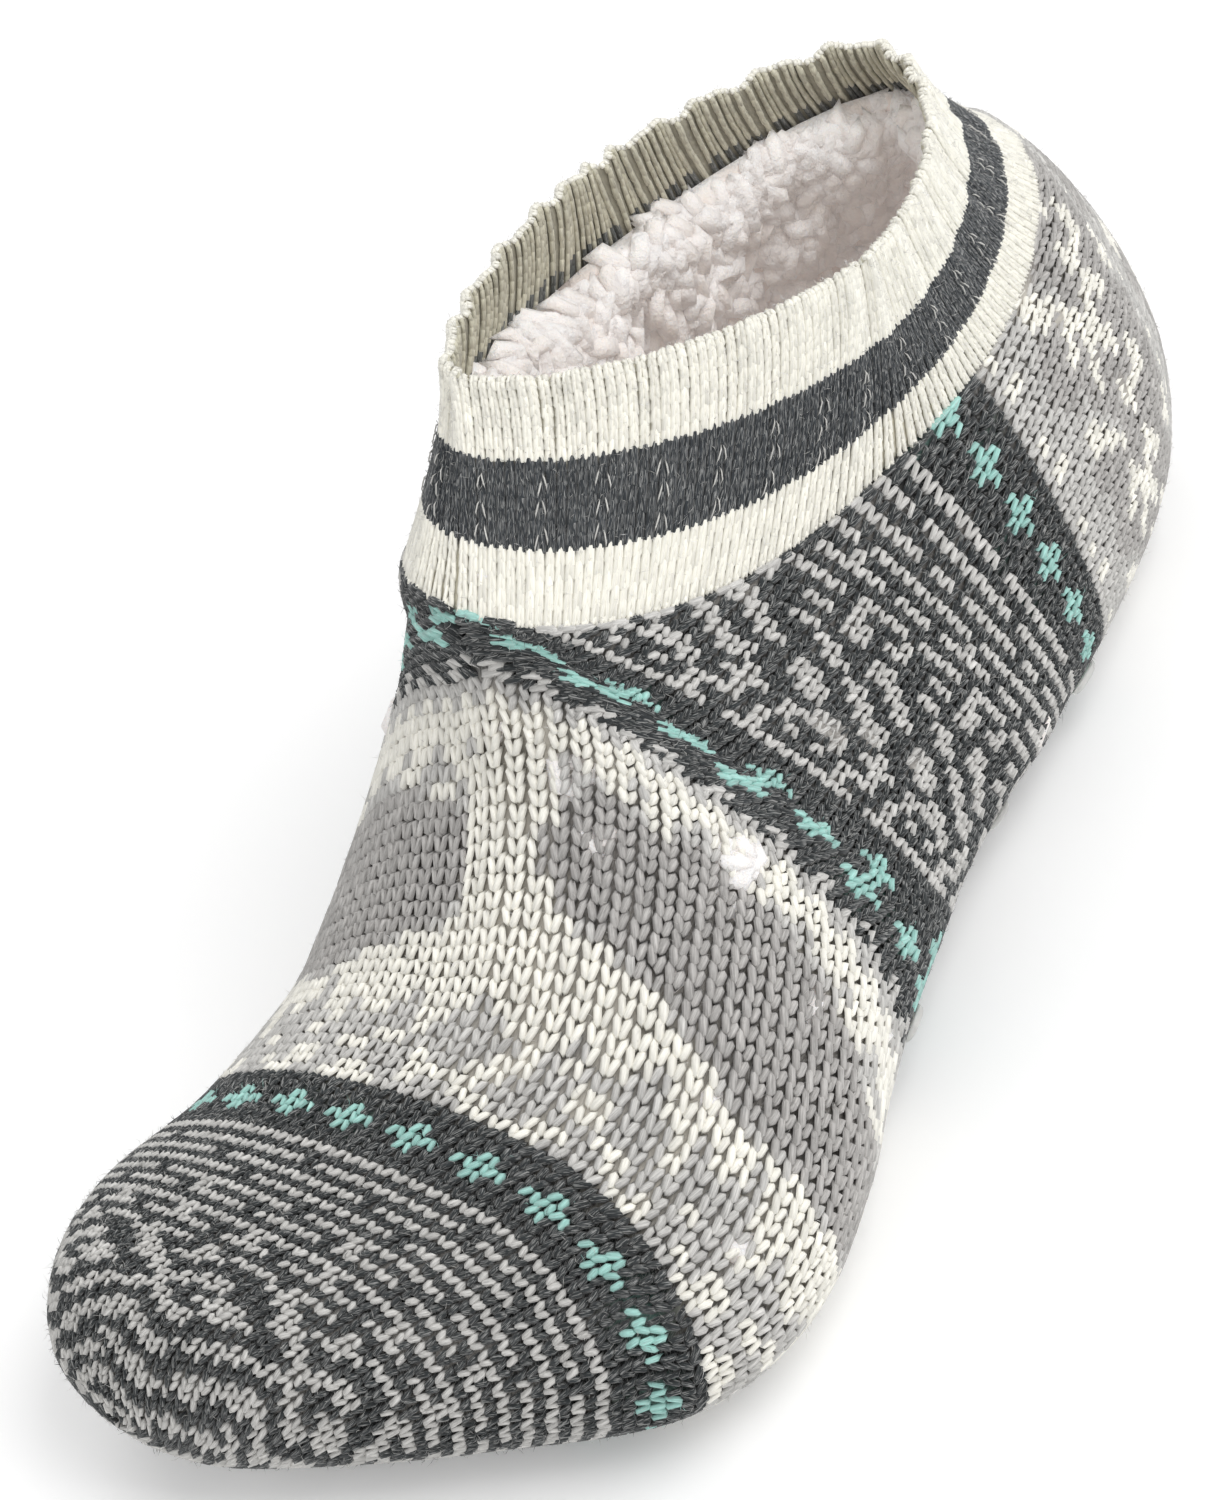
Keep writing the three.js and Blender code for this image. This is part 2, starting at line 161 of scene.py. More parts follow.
def half_section(place, hand, samples=40):
    """Points of one side of a section, from the middle of the sole to its top."""
    s = section(place)
    mouth = min(abs(s["top"][1]) / s["half"], 0.98)
    end = math.acos(mouth ** (s["crown"] / 2))
    rise = (s["top"][2] - s["waist"]) / math.sin(end) ** (2 / s["crown"])
    down = np.linspace(1, 0, samples)[:-1]
    turn = math.pi / 2 * down
    depth = (s["waist"] - s["low"]) * (1 + SOLE_PRESS)
    out_low = s["half"] * np.abs(np.cos(turn)) ** SOLE_SQUARE
    out_low[0] = 0
    z_low = np.maximum(s["waist"] - depth * np.sin(turn) ** SOLE_ROUND, s["low"])
    up = np.linspace(0, 1, samples)
    out_up = s["half"] * np.abs(np.cos(end * up)) ** (2 / s["crown"])
    out_up[-1] = abs(s["top"][1])
    z_up = s["waist"] + rise * np.sin(end * up) ** (2 / s["crown"])
    out = np.concatenate([out_low, out_up])
    z = np.concatenate([z_low, z_up])
    lean = (s["top"][0] - s["x"]) * (z - s["low"]) / max(s["top"][2] - s["low"], 1e-6)
    return np.stack([s["x"] + lean, s["side"] + hand * out, z], -1)


edges = [half_section(p, hand)[:, 1] for p in np.linspace(1, 14, 27) for hand in (1, -1)]
CENTRE_Y = (max(e.max() for e in edges) + min(e.min() for e in edges)) / 2
TO_FRAME = np.array([0, -CENTRE_Y, UNDERSIDE])
print("middle of the foot at y", round(CENTRE_Y, 2))

# %% [markdown]
# ## Rounds and columns of stitches
# A sock is knitted in rounds. The toe is knitted tight and the instep is stretched, so both
# the height of a round and the width of a column change along the foot. The rounds don't
# follow the sections quite: the stripes lean forward on the sides, as the sock was pulled on
# askew. Both are worked out once, as a net of points that stitches are laid on.

# %% The net that stitches are laid on
HALF_COLUMNS = 40  # columns on each half, where the instep is widest
EXTRA_COLUMNS = 14  # more of them behind the instep, up to the collar
FINE = 4  # net points for each column
COURSE = ([0, 4.3, 4.8, 6.0, 6.5, 7.6, 15], [1.75, 1.75, 2.4, 2.5, 1.9, 1.85, 1.85])
TOE_FULL = 4.3  # the place, in rows of the table, from where no column is dropped
TOE_PITCH = ([0, 4.0], [2.25, 2.75])
BACK_FROM = 6.4  # the place from where columns narrow to the back's pitch
BACK_PITCH = ([7.0, 9.7, 12, 15], [3.15, 2.95, 2.8, 2.7])
STRIPES = dict(toe=4.0, instep=6.9, heel=9.7)  # middles of the three stripes, in table rows
LEANS = {  # how far each stripe leans, in table rows, from the sole up to the top
    ("toe", 1): ([0, 0.5, 0.6, 0.7, 0.8, 0.9, 1], [-0.45, -0.28, -0.1, 0.06, 0.12, 0.06, 0]),
    ("toe", -1): ([0, 0.7, 0.8, 1], [-0.45, -0.2, -0.12, 0]),
    ("instep", 1): ([0, 0.4, 0.5, 0.65, 0.85, 0.93, 1], [-0.6, -0.28, 0, 0.24, 0.28, 0.14, 0]),
    ("instep", -1): ([0, 0.8, 0.93, 1], [-0.6, -0.2, -0.15, 0]),
}
LEAN_ENDS = (0.5, 9.3)  # places where the rounds follow the sections again
OPEN_WEIGHTS = [0.25, 0.2, 0.25, 0.2, 0.1]  # how much each line from sole to top counts
CLOSED_WEIGHTS = [0.15, 0.15, 0.2, 0.25, 0.25]
MARGIN = 0.3  # of a column, past the middle of the sole and the top
FOOT_MIDDLE = np.array([0, 0, 45.0])
SURFACE_ROWS = 500
SURFACE_STEPS = 200


def arc_of(points):
    steps = np.linalg.norm(np.diff(points, axis=0), axis=1)
    return np.concatenate([[0], np.cumsum(steps)])


def course_places():
    """Places of the rounds, evenly spaced on average over the top, the side and the sole."""
    fine = np.linspace(0.02, LAST - 0.02, 600)
    lines = np.array([half_section(p, 1, 20)[[0, 10, 19, 29, 38]] for p in fine])
    steps = np.linalg.norm(np.diff(lines, axis=0), axis=2)
    closed = (fine[:-1] < FIRST_OPEN) | (fine[:-1] > LAST_OPEN)
    weights = np.where(closed[:, None], CLOSED_WEIGHTS, OPEN_WEIGHTS)
    share = (steps * weights).sum(1) / np.interp(fine[:-1], *COURSE)
    run = np.concatenate([[0], np.cumsum(share)])
    count = int(run[-1])
    return np.interp(np.arange(count + 1) * run[-1] / count, run, fine)


PLACES = course_places()
ROUNDS = len(PLACES)
SURFACE_PLACES = np.linspace(PLACES[0], PLACES[-1], SURFACE_ROWS)
surface, girths = {}, {}
for hand in (1, -1):
    rows, arcs = [], []
    for place in SURFACE_PLACES:
        line = half_section(place, hand)
        arc = arc_of(line)
        even = np.linspace(0, arc[-1], SURFACE_STEPS)
        rows.append(np.stack([np.interp(even, arc, line[:, k]) for k in range(3)], -1))
        arcs.append(arc[-1])
    surface[hand] = np.array(rows) + TO_FRAME
    girths[hand] = np.array(arcs)


def lean_of(places, share, hand):
    """How far a round leans at a share of the way from the sole to the top."""
    toe = np.interp(share, *LEANS["toe", hand])
    instep = np.interp(share, *LEANS["instep", hand])
    at_toe = np.interp(places, [LEAN_ENDS[0], STRIPES["toe"], STRIPES["instep"]], [0, 1, 0])
    at_instep = np.interp(places, [STRIPES["toe"], STRIPES["instep"], LEAN_ENDS[1]], [0, 1, 0])
    return toe * at_toe + instep * at_instep


def pitch_of(hand):
    """The width of a column at each round."""
    girth = np.interp(PLACES, SURFACE_PLACES, girths[hand])
    full = girth / HALF_COLUMNS
    toe_end, back_start = np.interp([TOE_FULL, BACK_FROM], PLACES, full)
    toe = np.interp(PLACES, [*TOE_PITCH[0], TOE_FULL], [*TOE_PITCH[1], toe_end])
    back = np.interp(PLACES, [BACK_FROM, *BACK_PITCH[0]], [back_start, *BACK_PITCH[1]])
    return np.where(PLACES < TOE_FULL, toe, np.where(PLACES > BACK_FROM, back, full))


def foot_net(hand):
    """Points at each round and each quarter of a column. Columns are counted from the middle
    of the instep down to the sole's middle, which is column 40 behind the toe."""
    pitch = pitch_of(hand)
    columns = np.arange(-FINE * (EXTRA_COLUMNS + 1), FINE * (HALF_COLUMNS + EXTRA_COLUMNS) + 1) / FINE
    places = PLACES[:, None]
    girth = np.interp(PLACES, SURFACE_PLACES, girths[hand])[:, None]
    from_sole = np.where(places < TOE_FULL, girth - columns * pitch[:, None],
                         (HALF_COLUMNS - columns) * pitch[:, None])
    leaning = places + lean_of(places, np.clip(from_sole / girth, 0, 1), hand)
    girth_there = np.interp(leaning, SURFACE_PLACES, girths[hand])
    behind = girth_there - columns * pitch[:, None]
    from_sole = np.where(places < TOE_FULL, behind, from_sole)
    margin = MARGIN * pitch[:, None]
    inside = (from_sole > -margin) & (from_sole < girth_there + margin)
    row = np.interp(leaning, SURFACE_PLACES, np.arange(SURFACE_ROWS))
    step = np.clip(from_sole / girth_there, 0, 1) * (SURFACE_STEPS - 1)
    r = np.clip(row.astype(int), 0, SURFACE_ROWS - 2)
    s = np.clip(step.astype(int), 0, SURFACE_STEPS - 2)
    fr, fs = (row - r)[..., None], (step - s)[..., None]
    a = surface[hand]
    points = ((a[r, s] * (1 - fr) + a[r + 1, s] * fr) * (1 - fs)
              + (a[r, s + 1] * (1 - fr) + a[r + 1, s + 1] * fr) * fs)
    return columns, points, inside


def outward(points):
    """Directions square to the net; points squeezed together lean away from the middle."""
    out = np.cross(np.gradient(points, axis=0), np.gradient(points, axis=1))
    length = np.linalg.norm(out, axis=2, keepdims=True)
    away = points - FOOT_MIDDLE
    away /= np.linalg.norm(away, axis=2, keepdims=True)
    if (out * away).sum() < 0:
        out = -out
    return np.where(length > 1e-3, out / np.maximum(length, 1e-9), away)


nets = {}
for hand in (1, -1):
    columns, points, inside = foot_net(hand)
    nets[hand] = dict(columns=columns, points=points, inside=inside, out=outward(points))
print(ROUNDS, "rounds,", "half girths", girths[1][::60].round(0))

# %% [markdown]
# ## Creases
# A worn knit isn't a smooth shell. It bulges over the instep, dips where the collar is sewn on
# and sags a little under the ankle. Each crease is a soft ridge or trough about a line on the
# net, in millimetres. A noise over the whole shoe would be quicker, but wouldn't lie where
# the real cloth gives. The stitches and the wall under them are both moved by it.

# %% Soft ridges and troughs
CREASES = [  # half, round and column at both ends, width, height (mm)
    (1, 71, 0, 69, 9, 6.5, 1.3),
    (1, 78, 0, 77, 12, 4.5, -1.0),
    (1, 90, 10, 97, 24, 5.0, -0.8),
    (1, 101, 18, 106, 30, 6.0, 0.8),
    (1, 58, 16, 63, 30, 5.5, -0.7),
    (1, 66, 22, 70, 34, 6.0, 0.7),
    (1, 128, 6, 134, 18, 5.0, -0.9),
    (-1, 90, 10, 97, 24, 5.0, -0.8),
    (-1, 58, 16, 63, 30, 5.5, -0.7),
    (-1, 128, 6, 134, 18, 5.0, -0.9),
]


def crease_end(hand, round_index, column):
    net = nets[hand]
    return net["points"][round_index, int((column - net["columns"][0]) * FINE)]


CREASE_LINES = [(crease_end(hand, r0, c0), crease_end(hand, r1, c1), wide, high)
                for hand, r0, c0, r1, c1, wide, high in CREASES]


def crease(points):
    """How far the creases lift the cloth at some points."""
    height = np.zeros(points.shape[:-1])
    for start, end, wide, high in CREASE_LINES:
        along = end - start
        share = np.clip((points - start) @ along / (along @ along), 0, 1)
        gap = np.linalg.norm(points - start - share[..., None] * along, axis=-1)
        height += high * np.exp(-(gap / wide) ** 2)
    return height


for net in nets.values():
    net["points"] = net["points"] + net["out"] * crease(net["points"])[..., None]
print("creases", len(CREASE_LINES))

# %% [markdown]
# ## Yarn colours and the chart
# Stranded colourwork is knitted from a chart: one letter for each stitch. The charts here are
# short and repeat round the foot. A picture could be projected instead, but a stitch has one
# colour from end to end, and only a chart gives the stepped edges that a knitter sees.

# %% Yarns and charts
YARNS = {  # red, green, blue and how strongly the yarn is marled
    "c": (0.87, 0.85, 0.78, 0.22),  # cream
    "l": (0.54, 0.53, 0.51, 0.55),  # light grey
    "m": (0.42, 0.405, 0.39, 0.60),  # mid grey
    "k": (0.017, 0.021, 0.023, 1.0),  # charcoal
    "a": (0.33, 0.59, 0.54, 0.45),  # pale aqua
}
CODES = "clmka"

TOE_CAP = [  # from the flower stripe down to the toe
    "llllllllll", "kkkkkkkkkk", "llllllllkl", "kkkkkkkkkk", "lllkllllll", "kkkkkkkkkk",
    "llllllklll", "kkkkkkkkkk", "lkllllllll", "kkkkklkkkk", "llllkllllk", "kkkkkkkkkk",
    "llllllllll", "klkkkklkkk", "lllklllllk", "kkkkkkkkkk", "lklllklllk", "llkkkllkkk",
    "lkkkkkllkl", "kkllkkkllk", "klllkkklll", "llkkllkkkl", "lkkllllkkk", "llkkllkkkl",
    "klllkkklll", "kkllkkllkk", "lkkkkllkkl", "llkkllkkll", "klllkkklll", "kkllkkllkk",
    "lkkkkllkkl", "lllkkllkkk", "kllllkkkll", "kkllkkkllk", "lkkkkllkkl", "llkkllkkll",
    "klllkkkllk", "kkllkkllkk", "llkkllkkll", "kllkkllkkl", "llllllllll",
]
FLOWERS = ["kkkk", "kkkk", "kakk", "aaak", "kakk", "kkkk", "kkkk"]
LARGE_FLOWERS = [
    "kkkkkkkk", "kakkkkkk", "aaakkkkk", "kakkkakk", "kakkaaak", "aaakkakk", "kakkkkkk", "kkkkkkkk",
]
MIDDLE = [  # from the instep stripe down to the toe stripe
    "klkklkklkklkklkklkklkklkkl",
    "lklklklklklklklklklklklklk",
    "llllllllllllllllllllllllll",
    "clclclclclclclclclclclclcl",
    "cccccccccccccccccccccccccc",
    "cccccccccccccccccccccccccc",
    "ccclcclcclcclcclcclcclcclc",
    "cccllccclllcclllllcclllccc",
    "ccclmmlcmmmmmmmmmmmmlcclcc",
    "cccmmmmmmmmmmmmmmmmmmmmlcc",
    "cccmmmmmmmmmmmmmmmmmmmmmcc",
    "ccmmmmmmmmmmmmmmmmmmmmmmcc",
    "ccmmmmmmmmmmmmmmmmmmmmmmcc",
    "ccmmmmmmmmmmmmmmmmmmmmmmcc",
    "cccmmmmmmmmmmmmmmmmmmmmmcc",
    "cccmmmmmmmmmmmmmmmmmmmmlcc",
    "cccclmmmmmmmmmmmmmmmmmlccc",
    "cccccclmmmmmmmmmmmmlcccccc",
    "ccccccccclmmmmmmlccccccccc",
    "cccccccccccclmlccccccccccc",
    "ccccccccccccccclcccccccccc",
    "lcccccccclccccclcccccclccc",
    "llccclccllcclcllcclccllccl",
    "lllclclllllclllllclllllcll",
    "llccllcclllcllllcllllcclll",
    "lcclllcclllllclllllcclllcl",
    "ccllllllccllllllccllllllcc",
    "lccllccllclcllclccllccllcl",
    "llccccllllcclllccllcccclll",
    "lllccllllllclllllllcclllll",
]
BACK = [  # between the instep stripe and the heel stripe, from the heel down
    "llllklllll", "kkkkkkkkkk", "lllllllkll", "kkkkkkkkkk", "llkllllllk", "kkkkkkkkkk",
    "lllllkllll", "kkkkklkkkk", "llklllllkl", "kkkkkkkkkk", "lkllllklll", "klkkkkklkk",
    "llkkllkllk", "kkkkkkkllk", "llkkllkkkk", "lllkkkllkk", "kkllkkkllk", "lkkllkkkkl",
    "llkkkkllkk", "klllkklllk", "kkllkkkllk", "lkkklkkkkl", "llklllklll", "klkklkklkk",
    "lklllklklk", "kklkkklkkk",
]
HEEL = [  # from the heel stripe up to the back of the heel
    "llllllllllllllllllll",
    "clclllclclllclclllcl",
    "llclllllclllllclllll",
    "llllllllllllllllllll",
    "lllllllllllmllllllll",
    "llmmlllllmmmmllllmml",
    "mmmmmlccmmmmmmlccmmm",
    "mmmmmlcccmmmmllccmmm",
    "mmcmmmlccmmcmmmlccmm",
    "mccmmmmlcmccmmmmlcmm",
    "ccmmccmmlccmmccmmlcm",
    "mccccmmmmmccccmmmmmm",
    "mmccmmmmmmmccmmmmmmm",
    "mccccmmccmccccmmccmm",
    "ccmmccmmcccmmccmmccm",
    "mccmmmmmcmccmmmmmcmm",
    "mmcmmmcccmmcmmmcccmm",
    "mmmmmmmccmmmmmmmccmm",
    "mmmmmmmmmmmmmmmmmmmm",
    "mmclmmmmmmmclmmmmmmm",
    "mccclmmmmmccclmmmmmm",
]
STRIPE_EDGES = dict(toe=(-3, 4), instep=(-4, 4), heel=(-3, 4))  # rounds from its middle
stripe_at = {name: int(np.searchsorted(PLACES, place)) for name, place in STRIPES.items()}
band_ends = [stripe_at[name] + edge for name, edges in STRIPE_EDGES.items() for edge in edges]


def chart_for(round_index):
    """The chart's row for one round: which letters repeat round it."""
    for end, rows in zip(band_ends, (TOE_CAP, FLOWERS, MIDDLE, LARGE_FLOWERS, BACK, FLOWERS)):
        if round_index < end:
            return rows[(end - 1 - round_index) % len(rows)]
    return HEEL[(round_index - band_ends[-1]) % len(HEEL)]


def stitch_codes(rounds, columns, hand):
    """The code of each stitch; columns left of the middle of the instep are 0, 1, 2…"""
    numbers = columns if hand > 0 else -1 - columns
    rows = [chart_for(r) for r in range(ROUNDS)]
    return np.array([CODES.index(rows[r][n % len(rows[r])]) for r, n in zip(rounds, numbers)])


print("stripes", stripe_at)

# %% [markdown]
# ## One stitch
# A knit stitch shows as two legs of yarn that lean together. On this slipper they meet on the
# collar's side and open towards the toe. Each leg is a short tube with pointed ends that
# start and end under its neighbours. Four sides are enough for a tube a millimetre thick when
# it is shaded smooth. All legs of a region are made in one array and one mesh, as a modifier
# or a copied object for every stitch would be far slower.

# %% Yarn tubes
LEG_STEPS = np.array([0.0, 0.28, 0.72, 1.0])
LEG_FATNESS = np.array([0.0, 1.05, 1.05, 0.0])
LEG_LIFT = np.array([-0.7, 0.35, 0.35, -0.7])


def unit(v):
    return v / np.maximum(np.linalg.norm(v, axis=-1, keepdims=True), 1e-9)


def sample(net, rounds, columns):
    """Points and outward directions of a net at fractional rounds and columns."""
    r = np.clip(rounds, 0, net["points"].shape[0] - 1.001)
    c = np.clip((columns - net["columns"][0]) * FINE, 0, net["points"].shape[1] - 1.001)
    r0, c0 = r.astype(int), c.astype(int)
    fr, fc = (r - r0)[..., None], (c - c0)[..., None]
    result = []
    for name in ("points", "out"):
        a = net[name]
        value = (a[r0, c0] * (1 - fr) * (1 - fc) + a[r0 + 1, c0] * fr * (1 - fc)
                 + a[r0, c0 + 1] * (1 - fr) * fc + a[r0 + 1, c0 + 1] * fr * fc)
        result.append(value)
    return result[0], unit(result[1])


def tubes(centres, outs, radii, sides=4, flat=1.0):
    """Closed tubes, pointed at both ends, along centres (tube, step, 3)."""
    count, steps, _ = centres.shape
    along = unit(np.gradient(centres, axis=1))
    side = unit(np.cross(along, outs))
    up = np.cross(side, along)
    angles = np.arange(sides) * 2 * math.pi / sides + math.pi / 2
    ring = (side[:, :, None] * np.cos(angles)[:, None]
            + up[:, :, None] * np.sin(angles)[:, None] * flat)
    rings = (centres[:, :, None] + ring * radii[:, :, None, None])[:, 1:-1]
    middle = (steps - 2) * sides
    each = middle + 2
    points = np.concatenate([centres[:, :1], rings.reshape(count, middle, 3), centres[:, -1:]], 1)
    index = 1 + np.arange(middle).reshape(steps - 2, sides)
    turned = np.roll(index, -1, axis=1)
    quads = np.stack([index[:-1], index[1:], turned[1:], turned[:-1]], -1).ravel()
    tips = np.concatenate([
        np.stack([np.zeros(sides, int), index[0], turned[0]], -1),
        np.stack([np.full(sides, each - 1), turned[-1], index[-1]], -1),
    ]).ravel()
    start = np.arange(count)[:, None] * each
    faces = [(start + quads).reshape(-1, 4), (start + tips).reshape(-1, 3)]
    reach = np.concatenate([[0], np.repeat(np.linspace(0, 1, steps)[1:-1], sides), [1]])
    turn = np.concatenate([[0], np.tile((np.arange(sides) / sides + 0.5) % 1 - 0.5, steps - 2), [0]])
    return points.reshape(-1, 3), faces, np.tile(reach, count), np.tile(turn, count), each


def mesh_piece(name, points, faces, material, colour=None, yarn=None):
    """A mesh object in metres from arrays in millimetres."""
    mesh = bpy.data.meshes.new(name)
    loops = np.concatenate([part.ravel() for part in faces])
    sizes = np.concatenate([np.full(len(part), part.shape[1]) for part in faces])
    starts = np.concatenate([[0], np.cumsum(sizes)[:-1]])
    mesh.vertices.add(len(points))
    mesh.vertices.foreach_set("co", (points * MM).astype(np.float32).ravel())
    mesh.loops.add(len(loops))
    mesh.loops.foreach_set("vertex_index", loops.astype(np.int32))
    mesh.polygons.add(len(sizes))
    mesh.polygons.foreach_set("loop_start", starts.astype(np.int32))
    mesh.polygons.foreach_set("use_smooth", np.ones(len(sizes), bool))
    if colour is not None:
        layer = mesh.attributes.new("dye_and_shade", "FLOAT_COLOR", "POINT")
        layer.data.foreach_set("color", colour.astype(np.float32).ravel())
    if yarn is not None:
        layer = mesh.attributes.new("yarn", "FLOAT_VECTOR", "POINT")
        layer.data.foreach_set("vector", yarn.astype(np.float32).ravel())
    mesh.update()
    mesh.validate()
    mesh.materials.append(material)
    piece = bpy.data.objects.new(name, mesh)
    bpy.context.scene.collection.objects.link(piece)
    return piece


triangle_total = 0


def join_slipper(piece, slot, *stands_for):
    """The piece rides on the slipper and stands for its CAD nodes; its slot is not used."""
    global triangle_total
    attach(piece, "root")
    if stands_for:
        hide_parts(*stands_for)
    count = sum(len(p.vertices) - 2 for p in piece.data.polygons)
    triangle_total += count
    return count


# %% [markdown]
# ## Shader sums
# Materials are sums of masks. Written as nodes by hand they are hard to read, so one small
# class stands for a socket and turns Python's own operators into Math nodes.

# %% A socket that can be added and multiplied
class Shade:
    """One output socket of a material, with the operators that add nodes."""

    def __init__(self, tree, socket):
        self.tree = tree
        self.socket = socket

    def node(self, kind, settings=None, inputs=None, output=0):
        made = self.tree.nodes.new(kind)
        for name, value in (settings or {}).items():
            setattr(made, name, value)
        for key, value in (inputs or {}).items():
            if isinstance(value, Shade):
                self.tree.links.new(value.socket, made.inputs[key])
            else:
                made.inputs[key].default_value = value
        return Shade(self.tree, made.outputs[output])

    def sum(self, operation, a, b=0.0, c=0.0):
        return self.node("ShaderNodeMath", {"operation": operation}, {0: a, 1: b, 2: c})

    def __add__(self, other):
        return self.sum("ADD", self, other)

    __radd__ = __add__

    def __mul__(self, other):
        return self.sum("MULTIPLY", self, other)

    __rmul__ = __mul__

    def __sub__(self, other):
        return self.sum("SUBTRACT", self, other)

    def __rsub__(self, other):
        return self.sum("SUBTRACT", other, self)

    def between(self, low, high):
        return self.node("ShaderNodeMapRange", {"clamp": True},
                         {"Value": self, "From Min": low, "From Max": high})

    def stretched(self, x, y, z):
        return self.node("ShaderNodeVectorMath", {"operation": "MULTIPLY"},
                         {0: self, 1: (x, y, z)})

    def tinted(self, factor):
        """This colour, made lighter or darker by a factor."""
        return self.node("ShaderNodeVectorMath", {"operation": "SCALE"}, {0: self, 3: factor})

    def noise(self, scale, detail=2.0, rough=0.5):
        return self.node("ShaderNodeTexNoise", {}, {
            "Vector": self, "Scale": scale, "Detail": detail, "Roughness": rough})

    def mix(self, factor, other):
        """This colour, turned towards another by a factor."""
        return self.node("ShaderNodeMix", {"data_type": "RGBA"}, {0: factor, 6: self, 7: other}, 2)

    def bump(self, strength, distance):
        return self.node("ShaderNodeBump", {}, {
            "Height": self, "Strength": strength, "Distance": distance})


def new_material(name, roughness, **fixed):
    """A material with its shader's fixed sockets set; returns it, its shader and a maker."""
    material = bpy.data.materials.new(name)
    material.use_nodes = True
    tree = material.node_tree
    shader = tree.nodes["Principled BSDF"]
    shader.inputs["Roughness"].default_value = roughness
    for key, value in fixed.items():
        shader.inputs[key.replace("_", " ")].default_value = value
    return material, shader, Shade(tree, None)


def plug(shader, name, shade):
    shade.tree.links.new(shade.socket, shader.inputs[name])


# %% [markdown]
# ## Woollen yarn
# The yarn is a soft marl: dark and light fibres are spun together, so a grey yarn is really
# streaks of near-black and near-white. The dye comes from the chart as a colour on the mesh,
# and its alpha says how strongly the yarn is marled. On the walls under the stitches, the
# collar's inner face and the fleece, that colour also holds painted shade. Streaks come from
# noise stretched along each leg, in coordinates every leg carries: how far along, how far round, and a
# number.

# %% Yarn material
def yarn_material(name):
    material, shader, shade = new_material(name, 0.95, Sheen_Weight=0.15, Sheen_Roughness=0.6)
    dye_and_shade = shade.node("ShaderNodeAttribute", {"attribute_name": "dye_and_shade"})
    marl = shade.node("ShaderNodeAttribute", {"attribute_name": "dye_and_shade"}, output=3)
    place = shade.node("ShaderNodeAttribute", {"attribute_name": "yarn"}, output=1)
    streaks = place.stretched(1.3, 5.0, 1.0).noise(1.6, 3.0, 0.65)
    specks = place.stretched(3.0, 15.0, 1.0).noise(1.0, 2.0, 0.6)
    tone = streaks.between(0.36, 0.66) * 0.55 + specks.between(0.36, 0.66) * 0.45
    body = dye_and_shade.tinted(1.0 + marl * (tone * 1.3 - 0.6))
    hairs = place.stretched(4.0, 26.0, 1.0).noise(1.0, 1.0, 0.5).between(0.54, 0.64)
    plug(shader, "Base Color", body.mix(hairs * marl * 0.42, (0.66, 0.66, 0.64, 1.0)))
    height = streaks * 0.5 + specks * 0.5
    plug(shader, "Normal", height.bump(0.5, 0.0003))
    return material


WOOL = yarn_material("marled wool")
DYES = np.array([YARNS[letter] for letter in CODES])
print("yarn material ready")

# %% [markdown]
# ## The knitted foot
# Stitches alone would let light through at their crossings. Under them lies the wall of the
# knit: the CAD wall itself, drawn in a little on its outer side and dyed like the stitches
# above it, but darkened by painted shadow, the shade between the stitches. A new wall could be made
# from the net, but the CAD's is closed and already fits.

# %% Stitches of the foot
LEG_RADIUS = 0.195  # of a column's width
LEG_SINK = 0.55  # the middle of the yarn, below the outer skin
LEG_ARCH = 0.30  # how high a leg arches, of a column's width


def leg_path(rounds, columns, side, jitter, wide=0.40, long=1.55):
    """Rounds and columns along one leg: it starts at the stitch's tip and opens to the toe."""
    at_round = rounds[:, None] + 0.98 - long * LEG_STEPS[None] + jitter[:, :1]
    spread = wide * (0.25 + 0.75 * np.sin(LEG_STEPS * math.pi / 2) ** 1.1)
    at_column = columns[:, None] + 0.5 + side * spread[None] + jitter[:, 1:2]
    return at_round, at_column


WHOLE_COLUMNS = np.arange(-EXTRA_COLUMNS, HALF_COLUMNS + EXTRA_COLUMNS)
MIDDLES = ((WHOLE_COLUMNS + 0.5 - nets[1]["columns"][0]) * FINE).astype(int)


def foot_stitches(hand, first, last):
    """Every leg between two rounds on one half of the foot."""
    net = nets[hand]
    pitch = pitch_of(hand)
    wanted = np.zeros((ROUNDS, len(WHOLE_COLUMNS)), bool)
    wanted[first:last] = net["inside"][first:last][:, MIDDLES]
    rounds, columns = np.nonzero(wanted)
    columns = WHOLE_COLUMNS[columns]
    codes = stitch_codes(rounds, columns, hand)
    made = []
    for side in (-1, 1):
        jitter = rng.normal(0, 1, (len(rounds), 2)) * [0.06, 0.03]
        at_round, at_column = leg_path(rounds.astype(float), columns.astype(float), side, jitter)
        centres, outs = sample(net, at_round, at_column)
        width = pitch[rounds][:, None]
        size = LEG_RADIUS * (1 + rng.normal(0, 0.06, (len(rounds), 1)))
        centres = centres + outs * (LEG_LIFT[None] * width * LEG_ARCH - LEG_SINK)[..., None]
        made.append((centres, outs, size * width * LEG_FATNESS[None], DYES[codes]))
    return made


def yarn_piece(name, parts, slot, sides=4, flat=0.95):
    """One mesh of many yarn legs, from (centres, outs, radii, dyes and painted shades) of each part."""
    centres, outs, radii, dyes_and_shades = (np.concatenate(part) for part in zip(*parts))
    points, faces, reach, turn, each = tubes(centres, outs, radii, sides, flat)
    number = np.repeat(np.arange(len(centres)) * 3.7 % 97.0, each)
    colour = np.repeat(dyes_and_shades, each, axis=0)
    tint = 1 + np.repeat(rng.normal(0, 0.06, len(centres)), each)
    colour[:, :3] = np.clip(colour[:, :3] * tint[:, None], 0, 1)
    yarn = np.stack([reach, turn, number], -1)
    piece = mesh_piece(name, points, faces, WOOL, colour, yarn)
    print(name, len(centres), "strands,", join_slipper(piece, slot), "triangles")


